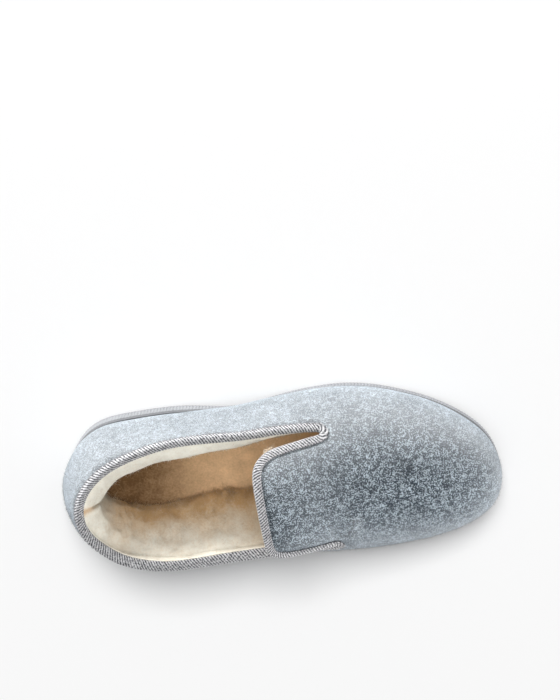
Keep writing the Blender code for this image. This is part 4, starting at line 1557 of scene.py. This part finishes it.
def make_insole(wool):
    """Wool insole in the solid's place."""
    form = insole_form()
    stations, columns = form.shape
    rings = np.concatenate([form.top.reshape(stations, columns, 3), form.base], axis=1)
    size = rings.shape[1]
    faces = [face[::-1] for face in capped_rings(stations, size)]
    material = wool_finish("insole_pile", wool, wool.insole_colour, wool.insole_root_colour)
    piece = new_piece("pile_insole", rings.reshape(-1, 3), faces, material)
    tip = np.concatenate([form.tip.reshape(stations, columns), np.zeros((stations, 2))], axis=1)
    # Painted shade of the insole, for the material
    store(piece, "tip", tip.ravel())
    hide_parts("insole")


def make_insole_wool(wool):
    """Loose wool on the insole where it can be seen."""
    form = insole_form()
    rng = np.random.default_rng(INSOLE_SEED)
    middle = form.top[form.faces].mean(axis=1)
    seen = form.faces[middle[:, 0] < wool.seen_front]
    points, normals, chosen = scatter(form.top, form.normals, seen, wool.insole_strand_count, rng)
    material = wool_finish("insole_wool_fibres", wool, wool.insole_colour, wool.insole_root_colour,
                           loose=True)
    tips = form.tip[seen[chosen, 0]]
    length = wool.strand_length * INSOLE_WOOL_LENGTH
    wool_strands("insole_wool", points, normals, tips, length, wool, rng, material)


# Sole

# Points along each side of the sole
SIDE_POINTS = 1000
# Slope from the rim into the recess underneath, and angle from which an edge is sharp
RECESS_SLOPE = 0.0006
SHARP_ANGLE = math.radians(50.0)
# Tread: clearance inside the rim, distance of its ends from heel back and toe tip, points along a bar,
# and section of a bar (step along the shoe in widths, lift in depths)
TREAD_CLEARANCE = 0.0040
TREAD_START = 0.014
TREAD_END = 0.012
TREAD_STEPS = 48
TREAD_SECTION = ((-0.5, 0.0), (0.5, 0.0), (0.42, 1.0), (-0.42, 1.0))


def sole_numbers():
    """Plan numbers once round, evenly along each side, the same count on both."""
    sides = []
    for side in (LATERAL_SIDE, MEDIAL_SIDE):
        line = SOLE_EDGE[side % PLAN_SAMPLES]
        sides.append(spread_evenly(line, side.astype(float), SIDE_POINTS)[:, 0])
    return np.concatenate([sides[0], sides[1][-2:0:-1]])


def make_sole(sole):
    """Rubber sole with fine ribs round its side, a rim and a recess for the tread underneath."""
    numbers = sole_numbers()
    edge, normal = plan_at(SOLE_EDGE, numbers), plan_at(EDGE_NORMAL, numbers)
    around = arc_lengths(closed_line(edge))
    ribs = round(around[-1] / sole.rib_pitch)
    wave = 0.5 - 0.5 * np.cos(2.0 * math.pi * ribs * around[:-1] / around[-1])
    loops = []
    rim = SOLE_SIDE[0].out - sole.rim_width
    for inset, lift in ((rim - RECESS_SLOPE, sole.tread_depth), (rim, 0.0)):
        flat = edge + normal * inset
        loops.append(np.column_stack([flat, sole_bottom(flat[:, 0]) + lift]))
    for side in SOLE_SIDE:
        flat = edge + normal * (side.out - side.rib * wave)[:, None]
        low, high = sole_bottom(flat[:, 0]), sole_top(flat[:, 0])
        loops.append(np.column_stack([flat, low + (high - low) * side.rise]))
    size = len(numbers)
    faces = ring_faces(len(loops), size, closed_rings=False).tolist()
    for start, turned in ((0, True), ((len(loops) - 1) * size, False)):
        for k in range(SIDE_POINTS):
            corners = [start + k, start + k + 1, start + size - k - 1, start + (size - k) % size]
            corners = list(dict.fromkeys(corners))
            faces.append(corners if turned else corners[::-1])
    piece = new_piece("rubber_sole", placed(np.vstack(loops)), faces, rubber_finish(sole))
    # Painted shade along the sole's bottom and top edges, where it meets floor and felt
    lines = [0.0, 0.0] + [side.line for side in SOLE_SIDE]
    store(piece, "line", np.repeat(lines, size))
    piece.data.set_sharp_from_angle(angle=SHARP_ANGLE)
    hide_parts("outsole")


def make_tread(sole):
    """Wavy bars across the underside, down to the floor."""
    inset = sole.rim_width + TREAD_CLEARANCE
    vertices, faces = [], []
    share = np.linspace(0.0, 1.0, TREAD_STEPS)
    for x in np.arange(TREAD_START, SHOE_LENGTH - TREAD_END, sole.tread_pitch):
        lateral, medial = inset_sides(SOLE_EDGE, x, inset)
        middle = lateral + share[:, None] * (medial - lateral)
        middle[:, 0] = x + sole.tread_wave * np.sin(2.0 * math.pi * middle[:, 1] / sole.tread_wave_length)
        section = []
        for step, lift in TREAD_SECTION:
            across = middle + np.array([step * sole.tread_width, 0.0])
            height = sole_bottom(across[:, 0]) + sole.tread_depth * lift
            section.append(np.column_stack([across, height]))
        faces += capped_rings(TREAD_STEPS, len(section), len(vertices) * TREAD_STEPS * len(section))
        vertices.append(np.stack(section, axis=1).reshape(-1, 3))
    places = placed(np.vstack(vertices))
    new_piece("sole_tread", places, faces, rubber_finish(sole), smooth=False)


# Stage

# Nearest distance that the camera sees; half the floor's side, and its drop under the sole
CLIP_START = 0.05
FLOOR_HALF = 9.0
FLOOR_DROP = 0.0002
# Soft lights: place and size in metres, and the collection that each one lights
Lamp = namedtuple("Lamp", "name place size lit")
LAMPS = [
    Lamp("key", (-0.80, 1.20, 0.12), (1.1, 0.24), SHOE_COLLECTION),
    Lamp("fill", (0.00, 0.60, 1.60), (2.0, 2.0), SHOE_COLLECTION),
    Lamp("toe", (1.50, 0.00, 0.20), (1.0, 0.5), SHOE_COLLECTION),
    Lamp("bounce", (0.60, -1.05, 0.60), (1.4, 0.5), SHOE_COLLECTION),
    Lamp("floor", (-0.40, 4.75, 5.80), (2.8, 2.8), FLOOR_COLLECTION),
]


def make_camera(stage):
    """Camera over the outer side, turned so that the toe points right and the outer side lies on top."""
    rise = stage.camera_elevation
    back = np.array([0.0, math.cos(rise), math.sin(rise)])
    right = np.array([1.0, 0.0, 0.0])
    up = np.cross(back, right)
    focal = stage.focal_length / stage.sensor * stage.frame_height
    yaw = math.atan2(stage.aim_right, focal)
    pitch = math.atan2(stage.aim_down, math.hypot(focal, stage.aim_right))
    axes = Matrix((right, up, back)).transposed()
    axes = axes @ Matrix.Rotation(yaw, 3, "Y") @ Matrix.Rotation(pitch, 3, "X")
    data = bpy.data.cameras.new("photo_camera")
    data.sensor_width = stage.sensor
    data.lens = stage.focal_length
    data.clip_start = CLIP_START
    camera = bpy.data.objects.new("photo_camera", data)
    camera.matrix_world = Matrix.Translation(back * stage.camera_distance) @ axes.to_4x4()
    bpy.context.scene.collection.objects.link(camera)
    bpy.context.scene.camera = camera


def make_floor(stage):
    """Wide pale floor, just under the sole."""
    mesh = bpy.data.meshes.new("studio_floor")
    corners = [(x * FLOOR_HALF, y * FLOOR_HALF, 0.0) for x, y in ((-1, -1), (1, -1), (1, 1), (-1, 1))]
    mesh.from_pydata(corners, [], [(0, 1, 2, 3)])
    mesh.materials.append(Finish("pale_floor", roughness=0.6, Base_Color=rgba(stage.floor_colour)).material)
    floor = bpy.data.objects.new("studio_floor", mesh)
    floor.location.z = -FLOOR_DROP
    scene_collection(FLOOR_COLLECTION).objects.link(floor)


def make_light(lamp, power):
    """Soft rectangular light that faces the shoe and lights one collection."""
    name = f"{lamp.name}_light"
    data = bpy.data.lights.new(name, "AREA")
    data.shape = "RECTANGLE"
    data.size, data.size_y = lamp.size
    data.energy = power
    light = bpy.data.objects.new(name, data)
    light.location = lamp.place
    light.rotation_mode = "QUATERNION"
    light.rotation_quaternion = (-Vector(lamp.place)).to_track_quat("-Z", "Y")
    light.light_linking.receiver_collection = scene_collection(lamp.lit)
    bpy.context.scene.collection.objects.link(light)


def make_world(stage):
    """Even light from all around."""
    world = bpy.data.worlds.new("studio_world")
    world.use_nodes = True
    background = world.node_tree.nodes["Background"]
    background.inputs["Color"].default_value = rgba(stage.world_colour)
    background.inputs["Strength"].default_value = stage.world_strength
    bpy.context.scene.world = world


# Settings

def size_property(label, text, default):
    return FloatProperty(name=label, description=text, default=default, unit="LENGTH", precision=5)


def colour_property(label, text, default):
    return FloatVectorProperty(name=label, description=text, default=default,
                               subtype="COLOR", min=0.0, max=1.0)


def share_property(label, text, default):
    return FloatProperty(name=label, description=text, default=default, subtype="FACTOR")


def angle_property(label, text, degrees):
    return FloatProperty(name=label, description=text, default=math.radians(degrees), subtype="ANGLE")


def number_property(label, text, default):
    return FloatProperty(name=label, description=text, default=default)


def count_property(label, text, default):
    return IntProperty(name=label, description=text, default=default)


class FeltSettings(PropertyGroup):
    """Sizes and colours of the felt."""
    dark_colour: colour_property("Dark fibres", "Colour of the dark fibres", (0.011, 0.022, 0.031))
    pale_colour: colour_property("Pale fibres", "Colour of the pale fibres", (0.476, 0.556, 0.616))
    # The nap colour is also the colour of the painted sheen on the steep sides
    nap_colour: colour_property("Nap", "Colour of the palest loose fibres", (0.568, 0.590, 0.610))
    fibre_size: size_property("Fibre size", "Size of the marl's specks", 0.00082)
    # Painted sheen: share of the paler colour on the steep sides, standing in for the light there
    painted_sheen_share: share_property("Brushing", "Share of pale nap over the sides of the shoe", 0.53)
    wave_height: size_property("Waves", "Height of the slow waves of the felt", 0.0004)
    groove_depth: size_property("Groove", "Depth of the groove beside the binding", 0.0007)
    nap_length: size_property("Nap length", "Length of the loose fibres", 0.0011)
    nap_width: size_property("Nap width", "Width of the loose fibres", 0.00007)
    nap_count: count_property("Nap count", "Number of loose fibres", 150000)


class TapeSettings(PropertyGroup):
    """Sizes and colours of the binding tape."""
    rib_colour: colour_property("Ribs", "Colour of the raised ribs", (0.60, 0.60, 0.61))
    groove_colour: colour_property("Grooves", "Colour between the ribs", (0.065, 0.065, 0.073))
    thread_colour: colour_property("Thread", "Colour of the sewing thread", (0.55, 0.55, 0.57))
    rib_pitch: size_property("Rib pitch", "Distance between ribs along the tape", 0.0019)
    rib_height: size_property("Rib height", "Height of the ribs", 0.0004)
    rib_angle: angle_property("Rib angle", "Angle of the ribs to the tape's length", 58.0)
    stitch_pitch: size_property("Stitch pitch", "Distance between stitches", 0.0034)
    stitch_place: share_property("Stitch place", "Share of the tape's depth", 0.80)
    thread_radius: size_property("Thread radius", "Half the thickness of the thread", 0.00022)


class WoolSettings(PropertyGroup):
    """Sizes and colours of the wool pile."""
    tip_colour: colour_property("Tips", "Colour of the pile's tips", (0.95, 0.925, 0.820))
    # The roots' colour also stands for the painted shade deep in the shoe
    root_colour: colour_property("Roots", "Colour of the pile's roots", (0.62, 0.40, 0.200))
    # Insole colours: the tan stands partly for shade, and the darkest is painted shade at the heel
    insole_colour: colour_property("Insole", "Colour of its pile at its palest", (0.94, 0.63, 0.365))
    insole_root_colour: colour_property("Insole roots", "Colour of it at its darkest", (0.165, 0.087, 0.034))
    curl_size: size_property("Curl size", "Size of the fine curls", 0.0014)
    tuft_size: size_property("Tuft size", "Distance between tufts", 0.0085)
    tuft_height: size_property("Tuft height", "Height of the tufts", 0.0009)
    lateral_tufts: share_property("Lateral tufts", "Their height on the outer side, against the rest", 0.35)
    # Painted shade: the pile drawn tan low down and cream high up, for the shade deep in the shoe
    deep_height: size_property("Deep", "Height over the floor up to which the pile is tan", 0.028)
    pale_height: size_property("Pale", "Height over the floor from which the pile is cream", 0.056)
    pale_wander: size_property("Pale wander", "How far that height goes up and down", 0.005)
    strand_length: size_property("Strand length", "Length of the loose wool", 0.0024)
    strand_width: size_property("Strand width", "Width of the loose wool", 0.00016)
    strand_count: count_property("Strands", "Loose strands on the lining", 55000)
    insole_strand_count: count_property("Insole strands", "Loose strands on the insole", 25000)
    foot_height: size_property("Foot", "Height up to which the wool hangs over the insole", 0.0265)
    foot_strands: count_property("Foot strands", "Strands there, longer than the others", 9000)
    # Painted shade: the insole drawn darker towards the heel
    dark_end: size_property("Dark end", "Place along the shoe where the insole is darkest", -0.095)
    tan_start: size_property("Tan start", "Place along the shoe from which the insole is palest", -0.030)
    insole_tufts: share_property("Insole tufts", "Height of its tufts against the lining's", 0.5)
    tuft_corner: FloatVectorProperty(
        name="Tuft", description="Place of the wool that shows under the flap's corner",
        size=2, default=(-0.0090, 0.0370), unit="LENGTH", precision=5,
    )
    tuft_strands: count_property("Tuft strands", "Strands of that wool", 160)
    seam_across: size_property("Seam", "Place of the heel seam across the shoe", -0.0125)
    seam_width: size_property("Seam width", "Half the width of the heel seam", 0.0026)
    seam_front: size_property("Seam front", "Foremost place of the heel seam", -0.105)
    seen_front: size_property("Seen front", "Foremost place where the inside can be seen", 0.045)


class SoleSettings(PropertyGroup):
    """Sizes and colours of the sole."""
    dark_colour: colour_property("Dark grain", "Dark grain of the rubber", (0.19, 0.195, 0.205))
    pale_colour: colour_property("Pale grain", "Pale grain of the rubber", (0.36, 0.37, 0.385))
    rib_pitch: size_property("Rib pitch", "Distance between ribs round the side", 0.0021)
    rim_width: size_property("Rim", "Width of the plain rim underneath", 0.0040)
    tread_depth: size_property("Tread depth", "Depth of the tread", 0.0009)
    tread_pitch: size_property("Tread pitch", "Distance between bars", 0.0068)
    tread_width: size_property("Tread width", "Width of a bar", 0.0040)
    tread_wave: size_property("Tread wave", "Height of a bar's wave", 0.0017)
    tread_wave_length: size_property("Tread wave length", "Length of a bar's wave", 0.0180)


class StageSettings(PropertyGroup):
    """Camera, floor and lights."""
    camera_elevation: angle_property("Elevation", "Camera's height over the floor, as an angle", 64.0)
    camera_distance: size_property("Distance", "Camera's distance from the shoe's origin", 1.10)
    focal_length: number_property("Focal length", "In millimetres", 86.55)
    sensor: number_property("Sensor", "Length of its long side in millimetres", 36.0)
    frame_height: number_property("Frame height", "Picture's height in pixels", 700.0)
    aim_right: number_property("Aim right", "Origin's pixels right of the middle", 2.46)
    aim_down: number_property("Aim down", "Origin's pixels below the middle", 104.04)
    floor_colour: colour_property("Floor", "Colour of the floor", (0.90, 0.90, 0.90))
    world_colour: colour_property("World", "Colour of the surrounding light", (1.0, 1.0, 1.0))
    world_strength: number_property("World strength", "Strength of the surrounding light", 0.45)
    key_power: number_property("Key power", "Light on the shoe from its outer side", 35.0)
    fill_power: number_property("Fill power", "Light on the shoe from above", 12.0)
    toe_power: number_property("Toe power", "Light on its toe", 20.0)
    bounce_power: number_property("Bounce power", "Light on its inner side", 6.0)
    floor_power: number_property("Floor power", "Light on the floor", 475.0)


# Operators

class SLIPPER_OT_sole(Operator):
    """Rubber sole and its tread"""
    bl_idname = "slipper.sole"
    bl_label = "Sole"

    def execute(self, context):
        make_sole(context.scene.slipper_sole)
        make_tread(context.scene.slipper_sole)
        return {"FINISHED"}


class SLIPPER_OT_felt(Operator):
    """Felt upper and its nap"""
    bl_idname = "slipper.felt"
    bl_label = "Felt"

    def execute(self, context):
        make_felt_upper(context.scene.slipper_felt)
        make_felt_nap(context.scene.slipper_felt)
        return {"FINISHED"}


class SLIPPER_OT_binding(Operator):
    """Twill binding of the cut edge, and its stitches"""
    bl_idname = "slipper.binding"
    bl_label = "Binding"

    def execute(self, context):
        make_binding(context.scene.slipper_tape)
        make_stitches(context.scene.slipper_tape)
        return {"FINISHED"}


class SLIPPER_OT_wool(Operator):
    """Wool lining and insole"""
    bl_idname = "slipper.wool"
    bl_label = "Wool"

    def execute(self, context):
        make_lining(context.scene.slipper_wool)
        make_lining_wool(context.scene.slipper_wool)
        make_insole(context.scene.slipper_wool)
        make_insole_wool(context.scene.slipper_wool)
        return {"FINISHED"}


class SLIPPER_OT_stage(Operator):
    """Floor, lights, world and camera"""
    bl_idname = "slipper.stage"
    bl_label = "Stage"

    def execute(self, context):
        stage = context.scene.slipper_stage
        make_floor(stage)
        for lamp in LAMPS:
            make_light(lamp, getattr(stage, f"{lamp.name}_power"))
        make_world(stage)
        make_camera(stage)
        context.scene.view_settings.view_transform = "Standard"
        return {"FINISHED"}


OPERATORS = (SLIPPER_OT_sole, SLIPPER_OT_felt, SLIPPER_OT_binding, SLIPPER_OT_wool, SLIPPER_OT_stage)


class SLIPPER_PT_panel(Panel):
    """Sidebar panel with the slipper's pieces"""
    bl_label = "Felt slipper"
    bl_idname = "SLIPPER_PT_panel"
    bl_space_type = "VIEW_3D"
    bl_region_type = "UI"
    bl_category = "Slipper"

    def draw(self, context):
        for operator in OPERATORS:
            self.layout.operator(operator.bl_idname)


SETTINGS = {
    "slipper_felt": FeltSettings,
    "slipper_tape": TapeSettings,
    "slipper_wool": WoolSettings,
    "slipper_sole": SoleSettings,
    "slipper_stage": StageSettings,
}


def register():
    for name, settings in SETTINGS.items():
        bpy.utils.register_class(settings)
        setattr(bpy.types.Scene, name, PointerProperty(type=settings))
    for operator in OPERATORS:
        bpy.utils.register_class(operator)
    bpy.utils.register_class(SLIPPER_PT_panel)


def unregister():
    bpy.utils.unregister_class(SLIPPER_PT_panel)
    for operator in reversed(OPERATORS):
        bpy.utils.unregister_class(operator)
    for name, settings in SETTINGS.items():
        delattr(bpy.types.Scene, name)
        bpy.utils.unregister_class(settings)


def main():
    register()
    bpy.ops.slipper.sole()
    bpy.ops.slipper.felt()
    bpy.ops.slipper.binding()
    bpy.ops.slipper.wool()
    bpy.ops.slipper.stage()


if __name__ == "__main__":
    main()
